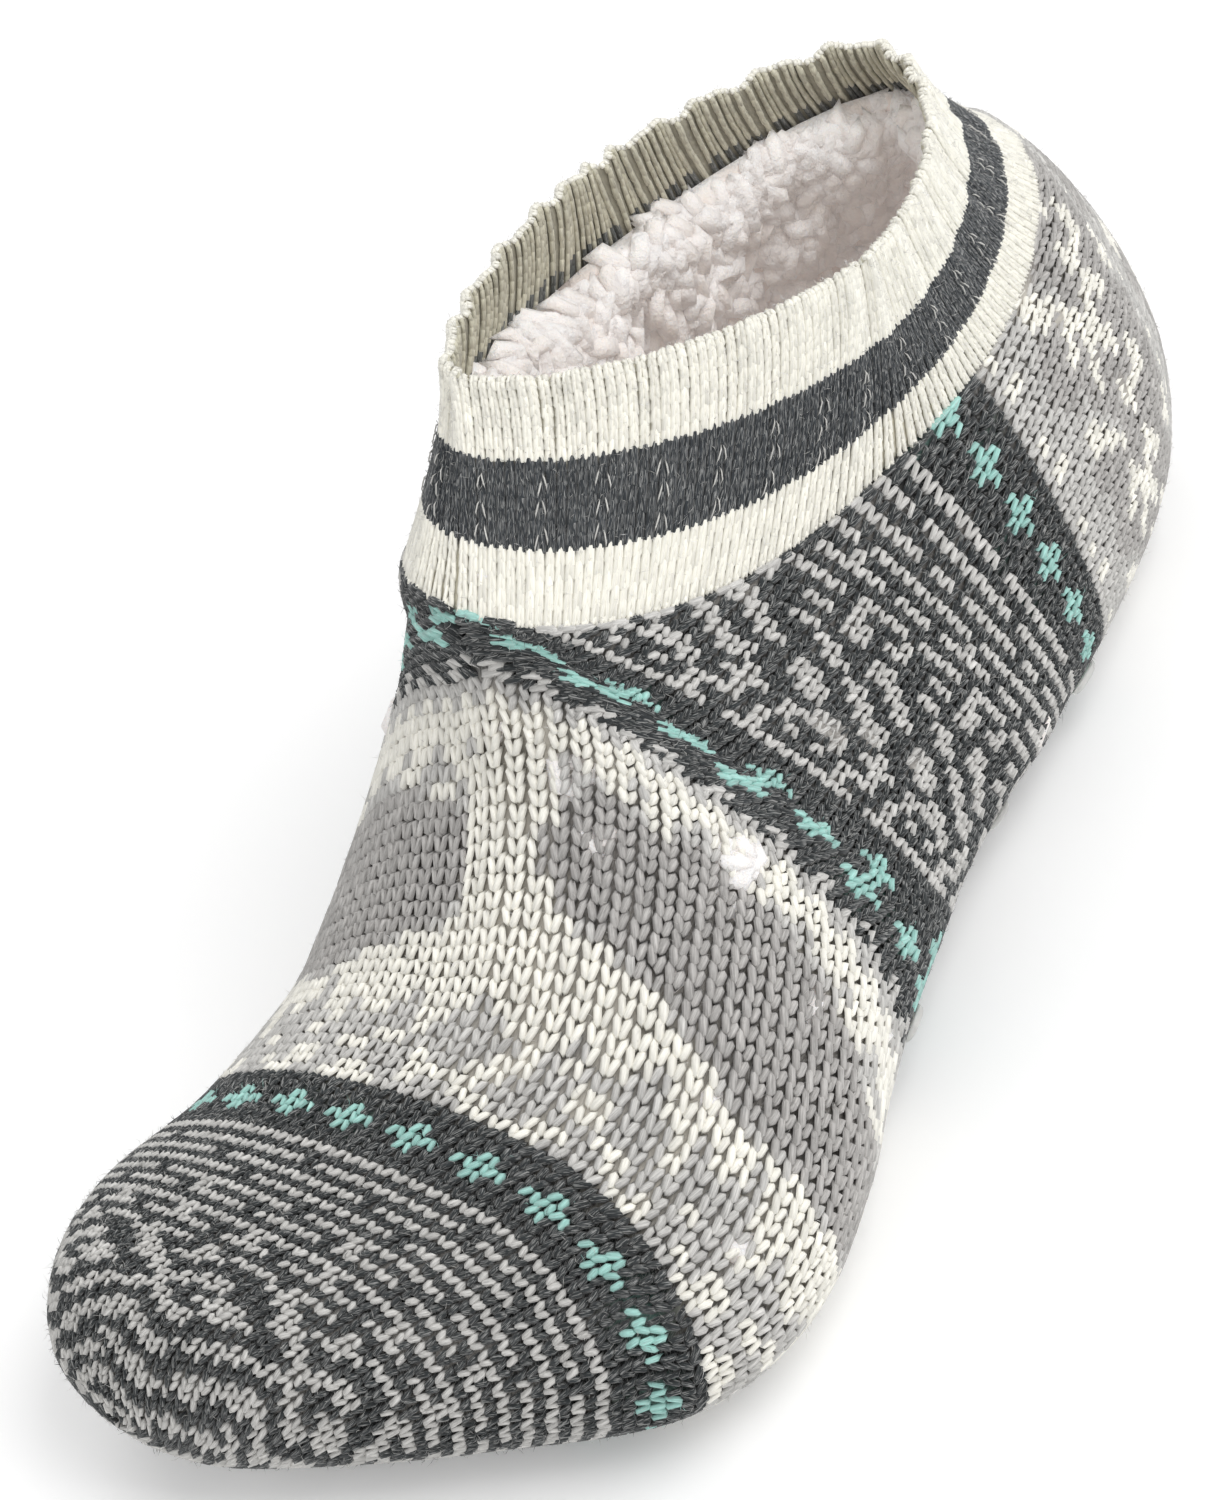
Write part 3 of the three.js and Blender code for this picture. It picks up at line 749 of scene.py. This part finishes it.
ZONES = {
    "toe_stitches": (1, stripe_at["toe"] + 4),
    "forefoot_stitches": (stripe_at["toe"] + 4, stripe_at["instep"] - 5),
    "instep_stitches": (stripe_at["instep"] - 5, stripe_at["heel"] - 4),
    "heel_stitches": (stripe_at["heel"] - 4, ROUNDS - 1),
}
for name, (first, last) in ZONES.items():
    yarn_piece(name, foot_stitches(1, first, last) + foot_stitches(-1, first, last), "knit")

# %% Wall under the stitches
WALL_SINK = 0.95
SKIN_REACH = 1.8  # a wall point this near a stitch counts as the outer side
WALL_SHADE = [0.52, 0.50, 0.48, 1]  # the yarn's own shadow between the stitches


def cad_mesh(name, cuts):
    """Points, triangles and normals of a CAD node, in millimetres, with its edges cut up."""
    work = bmesh.new()
    work.from_mesh(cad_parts[name].data)
    bmesh.ops.triangulate(work, faces=work.faces[:])
    bmesh.ops.remove_doubles(work, verts=work.verts[:], dist=1e-6)
    if cuts:
        bmesh.ops.subdivide_edges(work, edges=work.edges[:], cuts=cuts, use_grid_fill=True)
        bmesh.ops.triangulate(work, faces=work.faces[:])
    work.normal_update()
    points = np.array([v.co[:] for v in work.verts]) / MM
    normals = np.array([v.normal[:] for v in work.verts])
    faces = np.array([[v.index for v in f.verts] for f in work.faces])
    work.free()
    return points, faces, normals


def nearest_on(points, targets):
    """For each point, the nearest target's number and how far it is."""
    tree = KDTree(len(targets))
    for i, target in enumerate(targets):
        tree.insert(target, i)
    tree.balance()
    found = [tree.find(p) for p in points]
    return np.array([f[1] for f in found]), np.array([f[2] for f in found])


skin_points, skin_codes = [], []
for hand in (1, -1):
    net = nets[hand]
    rounds, columns = np.nonzero(net["inside"][:, MIDDLES])
    skin_points.append(net["points"][rounds, MIDDLES[columns]])
    skin_codes.append(stitch_codes(rounds, WHOLE_COLUMNS[columns], hand))
skin_points, skin_codes = np.concatenate(skin_points), np.concatenate(skin_codes)

points, faces, normals = cad_mesh("knit_foot", 1)
near, distance = nearest_on(points, skin_points)
outer = distance < SKIN_REACH
points = points - normals * np.where(outer, WALL_SINK - crease(points), 0)[:, None]
# The wall takes the dye of the stitch above it, darkened by painted shadow between the stitches.
dyes_and_shades = DYES[skin_codes[near]] * WALL_SHADE
wall = mesh_piece("knit_wall", points, [faces], WOOL, dyes_and_shades, points * 0.4)
print("wall", join_slipper(wall, "knit", "knit_foot"), "triangles")

# %% [markdown]
# ## The collar
# The collar is a ribbed band: narrow cords of knit stand up, and the purl stitches between
# them fall back into grooves. It is gathered where it is sewn on, so it waves a little, most
# at its free edge. One net climbs the outer face, rolls over the rim and runs down the inner
# face, so the cords go over the edge unbroken, as they do on the real band.

# %% The collar's net
CUFF_COLUMNS = 186
CUFF_KNIT = 2.0
CUFF_ROUNDS = 20  # from the seam to the rim
RIM_ROLL = 1.0
INNER_ROUNDS = 11
CUFF_ROWS = 41


def gathers(around, t):
    """How far the band waves out, in millimetres, round the collar and up it."""
    wave = 0.62 * np.sin(27 * around + 1.3 * np.sin(4 * around + 0.5) + 0.5 * t)
    wave += 0.38 * np.sin(43 * around + 2.0 + 0.9 * np.sin(3 * around))
    return wave


def cuff_surface():
    """Points and normals of the outer face: rows up the collar, columns evenly round it."""
    places = np.linspace(FIRST_OPEN, LAST_OPEN, 160)
    angle = np.array([smooth(SEAM_ANGLES, p - FIRST_OPEN) for p in places])
    left = np.array([half_section(p, 1)[-1] for p in places])
    right = np.array([half_section(p, -1)[-1] for p in places])
    ring = np.concatenate([left, right[::-1][1:]])
    rim = on_oval(RIM, np.concatenate([angle, 360 - angle[::-1][1:]]))
    rim[:, 1] = rim[:, 1] * (1 + COLLAR_SKEW * np.sign(rim[:, 1])) + COLLAR_SHIFT
    draw = 1 - 0.5 ** CUFF_EASE
    middle = ring + (rim - ring) * [draw, draw, 0.5]
    arc = arc_of(middle)
    count = CUFF_COLUMNS * FINE
    wanted = np.arange(count) / count * arc[-1]
    ring = np.stack([np.interp(wanted, arc, ring[:, k]) for k in range(3)], -1)
    rim = np.stack([np.interp(wanted, arc, rim[:, k]) for k in range(3)], -1)
    t = np.linspace(0, 1, CUFF_ROWS)[:, None]
    draw = 1 - (1 - t) ** CUFF_EASE
    share = np.stack([draw, draw, t], -1)
    points = ring[None] + (rim - ring)[None] * share + TO_FRAME
    around = np.arange(count)[None] / count * 2 * math.pi
    normals = cuff_normals(points)
    wave = gathers(around, t)
    points = points + normals * (wave * (0.10 + 0.55 * t ** 1.5))[..., None]
    points[..., 2] += wave * 0.55 * t ** 3
    return points, cuff_normals(points)


def cuff_normals(points):
    up = np.gradient(points, axis=0)
    around = np.roll(points, -1, axis=1) - np.roll(points, 1, axis=1)
    return unit(np.cross(around, up))


def row_at(rows, t):
    """A row of a grid at a share of its height."""
    place = np.clip(t, 0, 1) * (len(rows) - 1.001)
    i = int(place)
    return rows[i] + (rows[i + 1] - rows[i]) * (place - i)


face_points, face_normals = cuff_surface()
RIM_START = 1 - RIM_ROLL / 30
step = RIM_START / CUFF_ROUNDS


def band_rows(outer, roll, inner, sink=0.0):
    """Rows of points and directions: up the outer face, over the rim, down the inner face."""
    points, outs = [], []
    for t in outer:
        n = unit(row_at(face_normals, t))
        points.append(row_at(face_points, t) - n * sink)
        outs.append(n)
    n = unit(row_at(face_normals, RIM_START))
    edge = row_at(face_points, RIM_START)
    up = unit(edge - row_at(face_points, RIM_START - 0.05))
    for degrees in roll:
        turn = math.radians(degrees)
        way = n * math.cos(turn) + up * math.sin(turn)
        points.append(edge - n * CUFF_KNIT / 2 + way * (RIM_ROLL - sink))
        outs.append(way)
    for t in inner:
        n = unit(row_at(face_normals, t))
        points.append(row_at(face_points, t) - n * (CUFF_KNIT - sink))
        outs.append(-n)
    return np.array(points), np.array(outs)


rise = np.arange(CUFF_ROUNDS + 1) * step
fall = RIM_START - np.arange(INNER_ROUNDS + 2) * step
points, outs = band_rows(rise, (60, 120), fall)
wrap = np.arange(-FINE, CUFF_COLUMNS * FINE + FINE + 1) % (CUFF_COLUMNS * FINE)
cuff_net = dict(columns=np.arange(len(wrap)) / FINE - 1, points=points[:, wrap], out=outs[:, wrap])
print("collar net", cuff_net["points"].shape)

# %% Ribs of the collar
CUFF_CHARCOAL = (0.022, 0.027, 0.032, 1.0)
CUFF_CREAM = (0.86, 0.84, 0.76, 0.12)
# The inner face is the cream yarn, painted darker and warmer as the shade inside the collar.
INNER_SHADED_CREAM = (0.60, 0.575, 0.46, 0.35)
INNER_DARK = (0.10, 0.105, 0.10, 0.8)  # charcoal that shows through to the inner face
CHARCOAL_ROUNDS = (6, 13)
RIM_ROUND = CUFF_ROUNDS + 2
RIB_LENGTH = 2.3  # in rounds; long legs hide each other's ends and make cords
RIB_ARCH, RIB_SINK = 0.30, 0.50


def cuff_dye_and_shade(rounds, columns):
    """The dye of each stitch of the collar, with painted shade on the inner face."""
    dark = (rounds >= CHARCOAL_ROUNDS[0]) & (rounds < CHARCOAL_ROUNDS[1])
    inner = rounds > RIM_ROUND
    through = (rounds >= RIM_ROUND + INNER_ROUNDS - 3) & (columns * 7 % 3 > 0)
    dye_and_shade = np.where(dark[:, None], CUFF_CHARCOAL, CUFF_CREAM)
    # Inner rounds: cream in painted shade.
    dye_and_shade = np.where(inner[:, None], INNER_SHADED_CREAM, dye_and_shade)
    return np.where(through[:, None], INNER_DARK, dye_and_shade)


def cuff_legs(first, last, sides, wide, radius):
    """Legs of the collar between two rounds; one side of zero makes a single cord."""
    grid = np.mgrid[first:last, 0:CUFF_COLUMNS].reshape(2, -1)
    rounds, columns = grid.astype(float)
    made = []
    for side in sides:
        jitter = rng.normal(0, 1, (len(rounds), 2)) * [0.05, 0.03]
        at_round, at_column = leg_path(rounds, columns, side, jitter, wide, RIB_LENGTH)
        centres, outs = sample(cuff_net, at_round, at_column)
        centres = centres + outs * (LEG_LIFT[None] * RIB_ARCH - RIB_SINK)[..., None]
        size = radius * (1 + rng.normal(0, 0.05, (len(rounds), 1)))
        made.append((centres, outs, size * LEG_FATNESS[None], cuff_dye_and_shade(grid[0], grid[1])))
    return made


outer_legs = cuff_legs(0, RIM_ROUND + 1, (-1, 1), 0.27, 0.42)
yarn_piece("cuff_ribs", outer_legs, "cuff")
inner_legs = cuff_legs(RIM_ROUND + 1, RIM_ROUND + INNER_ROUNDS, (0,), 0.0, 0.46)
yarn_piece("cuff_inner_ribs", inner_legs, "cuff")

# %% Light threads on the charcoal band
THREAD_ROUNDS = [6, 8, 10]
THREAD_EVERY = 6  # columns
THREAD_DYE = (0.60, 0.59, 0.56, 0.3)
THREAD_RADIUS = 0.11
rounds, columns = np.meshgrid(THREAD_ROUNDS, np.arange(2, CUFF_COLUMNS - 1, THREAD_EVERY))
rounds, columns = rounds.ravel().astype(float), columns.ravel().astype(float)
made = []
for side in (-1, 1):
    jitter = rng.normal(0, 1, (len(rounds), 2)) * [0.22, 0.16]
    at_round, at_column = leg_path(rounds, columns, side, jitter, 0.55)
    centres, outs = sample(cuff_net, at_round, at_column)
    centres = centres + outs * (LEG_LIFT[None] * 0.5 + 0.12)[..., None]
    dyes_and_shades = np.tile(THREAD_DYE, (len(rounds), 1))
    radii = THREAD_RADIUS * LEG_FATNESS[None] * np.ones((len(rounds), 1))
    made.append((centres, outs, radii, dyes_and_shades))
yarn_piece("cuff_light_threads", made, "cuff")

# %% The collar's wall
WALL_ROWS = 16
# The wall under the ribs is cream darkened by painted shadow in the grooves between the cords, and
# darker still on the inner face, as painted shade inside the collar.
SHADED_WALL_CREAM = (0.62, 0.59, 0.48, 0.2)
SHADED_INNER_WALL = (0.36, 0.34, 0.27, 0.3)
WALL_CHARCOAL = (0.25, 0.58)  # shares of the height
heights = np.linspace(0.0, RIM_START, WALL_ROWS)
points, outs = band_rows(heights, (45, 90, 135), heights[::-1], sink=0.72)
rows, count = points.shape[:2]
points = points[:, ::2]
count = points.shape[1]
index = np.arange(rows * count).reshape(rows, count)
ahead, above = np.roll(index, -1, axis=1), np.roll(index, -1, axis=0)
corner = np.roll(ahead, -1, axis=0)
faces = np.stack([index, ahead, corner, above], -1).reshape(-1, 4)
level = np.concatenate([heights, [1, 1, 1], heights[::-1]])
dark = (level > WALL_CHARCOAL[0]) & (level < WALL_CHARCOAL[1]) & (np.arange(rows) < WALL_ROWS)
# Painted shade: the cream wall, and its inner face below, are darker than the ribs' yarn.
dyes_and_shades = np.where(dark[:, None], CUFF_CHARCOAL, SHADED_WALL_CREAM)
dyes_and_shades = np.where((np.arange(rows) > WALL_ROWS + 2)[:, None], SHADED_INNER_WALL, dyes_and_shades)
dyes_and_shades = np.repeat(dyes_and_shades, count, axis=0)
flat_points = points.reshape(-1, 3)
wall = mesh_piece("cuff_wall", flat_points, [faces], WOOL, dyes_and_shades, flat_points * 0.4)
print("collar wall", join_slipper(wall, "cuff", "rib_cuff"), "triangles")

# %% [markdown]
# ## The fleece
# The lining is a deep curly pile, brushed into soft locks. Its body is the CAD lining with
# the inner side swollen into clumps. On that lie a few thousand curled locks, fat in the
# middle and tucked in at both ends. Real hair curves would look finer, but the part's look
# has to be plain meshes.

# %% Fleece material
def fleece_material():
    # The fleece glows faintly in warm white: painted light that brightens the pile in the collar's
    # shade.
    material, shader, shade = new_material(
        "sherpa fleece", 1.0, Sheen_Weight=0.3, Sheen_Roughness=0.7,
        Subsurface_Weight=0.35, Subsurface_Radius=(1.0, 0.8, 0.65), Subsurface_Scale=0.0025,
        Emission_Color=(1.0, 0.93, 0.90, 1.0), Emission_Strength=0.08)
    dye_and_shade = shade.node("ShaderNodeAttribute", {"attribute_name": "dye_and_shade"})
    place = shade.node("ShaderNodeAttribute", {"attribute_name": "yarn"}, output=1)
    clumps = place.noise(0.22, 2.0, 0.5)
    curls = place.noise(1.3, 3.0, 0.6)
    shadow = clumps.between(0.38, 0.62)
    plug(shader, "Base Color", dye_and_shade.tinted(0.90 + shadow * 0.10))
    plug(shader, "Normal", (curls * 0.7 + clumps * 0.3).bump(0.7, 0.0012))
    return material


FLEECE = fleece_material()
PILE_WHITE = np.array([0.97, 0.93, 0.905, 1.0])
# A tan for the pile: a random tone of the locks, and painted shade in the pile's hollows.
PILE_TAN_AND_SHADE = np.array([0.86, 0.75, 0.68, 1.0])


def ripple(points, wavelength, number):
    """Soft, even noise between about -1 and 1, from waves in many directions."""
    maker = np.random.default_rng(number)
    ways = unit(maker.normal(0, 1, (14, 3))) * 2 * math.pi / wavelength
    phases = maker.uniform(0, 2 * math.pi, 14)
    ways *= maker.uniform(0.7, 1.3, (14, 1))
    return np.sin(points @ ways.T + phases).sum(1) / 3.7


# %% Body of the fleece
PILE_FROM = 3.2  # points this far from the outer skin count as the inner side
SWELL = 0.8  # the pile's mean height over the CAD's inner face
outer_skin = np.concatenate([skin_points, face_points[::4, ::4].reshape(-1, 3)])
points, faces, normals = cad_mesh("fleece_lining", 2)
near, distance = nearest_on(points, outer_skin)
inner = distance > PILE_FROM
swell = SWELL + 1.5 * ripple(points, 11.0, 11) + 0.7 * ripple(points, 5.0, 12)
points = points + normals * np.where(inner, swell, 0)[:, None]
# Low places between the clumps turn tan: painted shade in the pile's hollows.
hollow_shade = np.clip(0.5 - (swell - SWELL) * 0.4, 0, 1)[:, None]
dyes_and_shades = PILE_WHITE * (1 - hollow_shade) + PILE_TAN_AND_SHADE * hollow_shade
body = mesh_piece("fleece_pile", points, [faces], FLEECE, dyes_and_shades, points)
print("pile", join_slipper(body, "fleece", "fleece_lining"), "triangles")

# %% Locks of the fleece
LOCKS = 5200
LOCK_SIDES = 5
corners = points[faces]
face_inner = inner[faces].all(1)
areas = np.linalg.norm(np.cross(corners[:, 1] - corners[:, 0], corners[:, 2] - corners[:, 0]), axis=1)
height = corners[:, :, 2].mean(1)
weight = areas * face_inner * (0.08 + np.clip((height - 35) / 50, 0, 1.2))


def scatter(count):
    """Random places on the pile's inner side, with the way it faces there."""
    chosen = rng.choice(len(faces), count, p=weight / weight.sum())
    a, b = rng.random(count), rng.random(count)
    over = a + b > 1
    a, b = np.where(over, 1 - a, a), np.where(over, 1 - b, b)
    c = corners[chosen]
    where = c[:, 0] + (c[:, 1] - c[:, 0]) * a[:, None] + (c[:, 2] - c[:, 0]) * b[:, None]
    return where, unit(normals[faces[chosen]].mean(1))


def curls(count, long, high, fat, sink):
    """Bent locks on the pile, fat in the middle."""
    where, out = scatter(count)
    way = unit(rng.normal(0, 0.6, (count, 3)) + np.array([0, 0, 1.0]))
    way = unit(way - out * (way * out).sum(1, keepdims=True))
    aside = np.cross(out, way)
    t = np.array([-0.5, -0.22, 0.22, 0.5])
    length = rng.uniform(*long, (count, 1))
    bend = rng.normal(0, 0.25, (count, 1)) * length
    lift = rng.uniform(*high, (count, 1))
    centres = (where[:, None] + way[:, None] * (length * t)[..., None]
               + aside[:, None] * (bend * np.cos(t * math.pi))[..., None]
               + out[:, None] * (lift * np.cos(t * math.pi) ** 0.8 - sink)[..., None])
    radii = rng.uniform(*fat, (count, 1)) * np.array([0, 1.0, 0.9, 0])
    tone = rng.uniform(0, 0.45, (count, 1))
    dyes_and_shades = PILE_WHITE * 1.04 * (1 - tone) + PILE_TAN_AND_SHADE * tone
    outs = np.repeat(out[:, None], 4, axis=1)
    return centres, outs, radii, dyes_and_shades


centres, outs, radii, dyes_and_shades = curls(LOCKS, (5.0, 10.5), (0.6, 2.0), (1.2, 2.1), 1.2)
made, shapes, _, _, each = tubes(centres, outs, radii, LOCK_SIDES)
locks = mesh_piece("fleece_locks", made, shapes, FLEECE, np.repeat(dyes_and_shades, each, axis=0), made)
print("locks", join_slipper(locks, "fleece"), "triangles")

# %% [markdown]
# ## Silicone dots
# Clear silicone is dropped on the sole and cures into low lenses. Each dot stands for one
# CAD dot, and takes its place, size and axis from it. The lens is a little rounder than the
# CAD's flat-topped cone, since a drop has no edges.

# %% Dots
silicone, silicone_shader, _ = new_material(
    "clear silicone", 0.28, Transmission_Weight=0.65, IOR=1.41)
silicone_shader.inputs["Base Color"].default_value = (0.93, 0.93, 0.9, 1)
DOT_SIDES = 20
PROFILE = [(1.0, 0.0), (0.985, 0.30), (0.90, 0.62), (0.74, 0.86), (0.48, 0.97)]


def dot_lens(name, number):
    corners = np.array([v.co[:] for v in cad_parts[name].data.vertices]) / MM
    middle = corners.mean(0)
    _, _, ways = np.linalg.svd(corners - middle, full_matrices=False)
    axis = ways[2]
    along = (corners - middle) @ axis
    across = np.linalg.norm(corners - middle - along[:, None] * axis, axis=1)
    if across[along > 0].max() > across[along < 0].max():
        axis, along = -axis, -along
    base = middle + axis * along.min()
    tall, wide = along.max() - along.min(), across.max()
    angles = np.arange(DOT_SIDES) * 2 * math.pi / DOT_SIDES
    ring = ways[0] * np.cos(angles)[:, None] + np.cross(axis, ways[0]) * np.sin(angles)[:, None]
    rings = [base + axis * tall * up + ring * wide * out for out, up in PROFILE]
    points = np.concatenate([[base], *rings, [base + axis * tall]])
    index = 1 + np.arange(len(PROFILE) * DOT_SIDES).reshape(len(PROFILE), DOT_SIDES)
    ahead = np.roll(index, -1, axis=1)
    quads = np.stack([index[:-1], ahead[:-1], ahead[1:], index[1:]], -1).reshape(-1, 4)
    bottom = np.stack([np.zeros(DOT_SIDES, int), ahead[0], index[0]], -1)
    top = np.stack([np.full(DOT_SIDES, len(points) - 1), index[-1], ahead[-1]], -1)
    piece = mesh_piece(f"silicone_dot_{number:02d}", points, [quads, bottom, top], silicone)
    return join_slipper(piece, "grip", name)


dot_names = sorted(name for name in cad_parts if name.startswith("grip_dot_"))
dot_triangles = sum(dot_lens(name, i + 1) for i, name in enumerate(dot_names))
print(len(dot_names), "dots,", dot_triangles, "triangles")

# %% [markdown]
# ## Loose fibres
# Brushed wool sheds a halo of fibres. Over charcoal they show as fine light arcs, and along
# the outline as fuzz. Each is a bent sliver with three sides, dyed like the yarn below it.

# %% Fibres
def fibres(net, rounds, columns, dyes_and_shades, long=(1.0, 2.4)):
    """Thin bent fibres that start between the stitches."""
    count = len(rounds)
    start, out = sample(net, rounds, columns)
    way = unit(np.cross(out, rng.normal(0, 1, (count, 3))))
    length = rng.uniform(*long, (count, 1))
    stand = rng.uniform(0.1, 0.75, (count, 1))
    middle = start + way * length * 0.5 + out * length * stand * 0.45
    end = middle + way * length * rng.uniform(0.1, 0.5, (count, 1)) + out * length * stand * 0.35
    end = end + rng.normal(0, 0.15, (count, 3)) * length
    centres = np.stack([start - out * 0.4, middle, end], 1)
    outs = np.repeat(out[:, None], 3, axis=1)
    radii = rng.uniform(0.025, 0.045, (count, 1)) * np.array([[0, 1.0, 0]])
    return centres, outs, radii, dyes_and_shades


BARE_WOOL = (0.62, 0.61, 0.58, 0.1)


def fibre_dyes(dyes_and_shades):
    """Fibres are paler than their yarn, and a third of them are bare wool."""
    pale = rng.random(len(dyes_and_shades))[:, None] < 0.35
    made = np.where(pale, BARE_WOOL, dyes_and_shades * [1.25, 1.25, 1.25, 0.2] + [0.03, 0.03, 0.03, 0])
    return np.clip(made, 0, 0.9)


FOOT_FIBRES = 14000  # on each half, before those off the net are left out
CUFF_FIBRES = 4500
parts = []
for hand in (1, -1):
    net = nets[hand]
    rounds = rng.uniform(1, ROUNDS - 2, FOOT_FIBRES)
    columns = rng.uniform(-EXTRA_COLUMNS, HALF_COLUMNS + EXTRA_COLUMNS, FOOT_FIBRES)
    at = ((columns - net["columns"][0]) * FINE).astype(int)
    near = net["inside"][rounds.astype(int), at]
    rounds, columns = rounds[near], columns[near]
    codes = stitch_codes(rounds.astype(int), np.floor(columns).astype(int), hand)
    parts.append(fibres(net, rounds, columns, fibre_dyes(DYES[codes])))
yarn_piece("foot_fibres", parts, "knit", sides=3)
rounds = rng.uniform(0, RIM_ROUND, CUFF_FIBRES)
columns = rng.uniform(0, CUFF_COLUMNS, CUFF_FIBRES)
dyes_and_shades = fibre_dyes(cuff_dye_and_shade(rounds.astype(int), columns.astype(int)))
yarn_piece("cuff_fibres", [fibres(cuff_net, rounds, columns, dyes_and_shades, (0.7, 1.8))], "cuff", sides=3)
print(triangle_total, "triangles in all")

# %% [markdown]
# ## Stage, light and camera
# The slipper lies on a white floor under one soft main lamp, with two weaker ones and a white
# sky. The camera keeps the photo's angle to the shoe: it was placed by matching the outline,
# and is rolled, because the part lies flat and the photo's slipper stands on tip-toe. A real
# floor catches a real shadow, which a plain white backdrop could not.

# %% Stage, light and camera
CAMERA = dict(azimuth=54.14, height=44.02, roll=-22.2, distance=539.2, across=-14.19, up=-2.47)
FOCAL = 3689.6  # pixels, in an image 1500 pixels high
IMAGE_HEIGHT = 1500
SENSOR = 36.0
AIM = np.array([0, 0, 60.0])


LIGHTS = [  # name, azimuth, height (degrees), distance, size (metres), power (watts)
    ("key light", 120, 55, 1.1, 0.7, 7.0),
    ("fill light", 10, 40, 1.3, 1.0, 2.2),
    ("rim light", -110, 45, 1.2, 0.8, 2.0),
]
LIGHT_AIM = np.array([0, 0, 0.05])


def direction(azimuth, height):
    az, el = math.radians(azimuth), math.radians(height)
    return np.array([math.cos(el) * math.cos(az), math.cos(el) * math.sin(az), math.sin(el)])


def stand_object(name, data, right, up, back, eye):
    """An object at a place in metres, looking the other way from back."""
    made = bpy.data.objects.new(name, data)
    bpy.context.scene.collection.objects.link(made)
    matrix = np.eye(4)
    matrix[:3] = np.stack([right, up, back, eye], 1)
    made.matrix_world = Matrix(matrix)
    return made


def place_camera():
    out = direction(CAMERA["azimuth"], CAMERA["height"])
    roll = math.radians(CAMERA["roll"])
    eye = AIM + CAMERA["distance"] * out
    right = unit(np.cross([0, 0, 1], out))
    up = np.cross(out, right)
    target = AIM + CAMERA["across"] * right + CAMERA["up"] * up
    ahead = unit(target - eye)
    right = unit(np.cross(ahead, up))
    up = np.cross(right, ahead)
    turned = math.cos(roll) * right + math.sin(roll) * up
    raised = -math.sin(roll) * right + math.cos(roll) * up
    data = bpy.data.cameras.new("camera")
    data.lens = FOCAL / IMAGE_HEIGHT * SENSOR
    data.sensor_width = SENSOR
    data.clip_start = 0.01
    bpy.context.scene.camera = stand_object("camera", data, turned, raised, -ahead, eye * MM)


def place_light(name, azimuth, height, distance, size, power):
    out = direction(azimuth, height)
    data = bpy.data.lights.new(name, "AREA")
    data.size = size
    data.energy = power
    right = unit(np.cross([0, 0, 1], out))
    stand_object(name, data, right, np.cross(out, right), out, out * distance + LIGHT_AIM)


place_camera()
for light in LIGHTS:
    place_light(*light)

world = bpy.data.worlds.new("studio")
bpy.context.scene.world = world
world.use_nodes = True
world.node_tree.nodes["Background"].inputs["Color"].default_value = (1, 1, 1, 1)
world.node_tree.nodes["Background"].inputs["Strength"].default_value = 0.62
bpy.context.scene.view_settings.view_transform = "Standard"

paper, paper_shader, _ = new_material("pale floor", 0.8)
paper_shader.inputs["Base Color"].default_value = (0.93, 0.93, 0.93, 1)
paper_shader.inputs["Emission Color"].default_value = (1, 1, 1, 1)
paper_shader.inputs["Emission Strength"].default_value = 0.12
FLOOR_REACH = 3000.0
floor_points = np.array([[-1, -1, 0], [1, -1, 0], [1, 1, 0], [-1, 1, 0]]) * FLOOR_REACH
floor = mesh_piece("floor", floor_points, [np.array([[0, 1, 2, 3]])], paper)
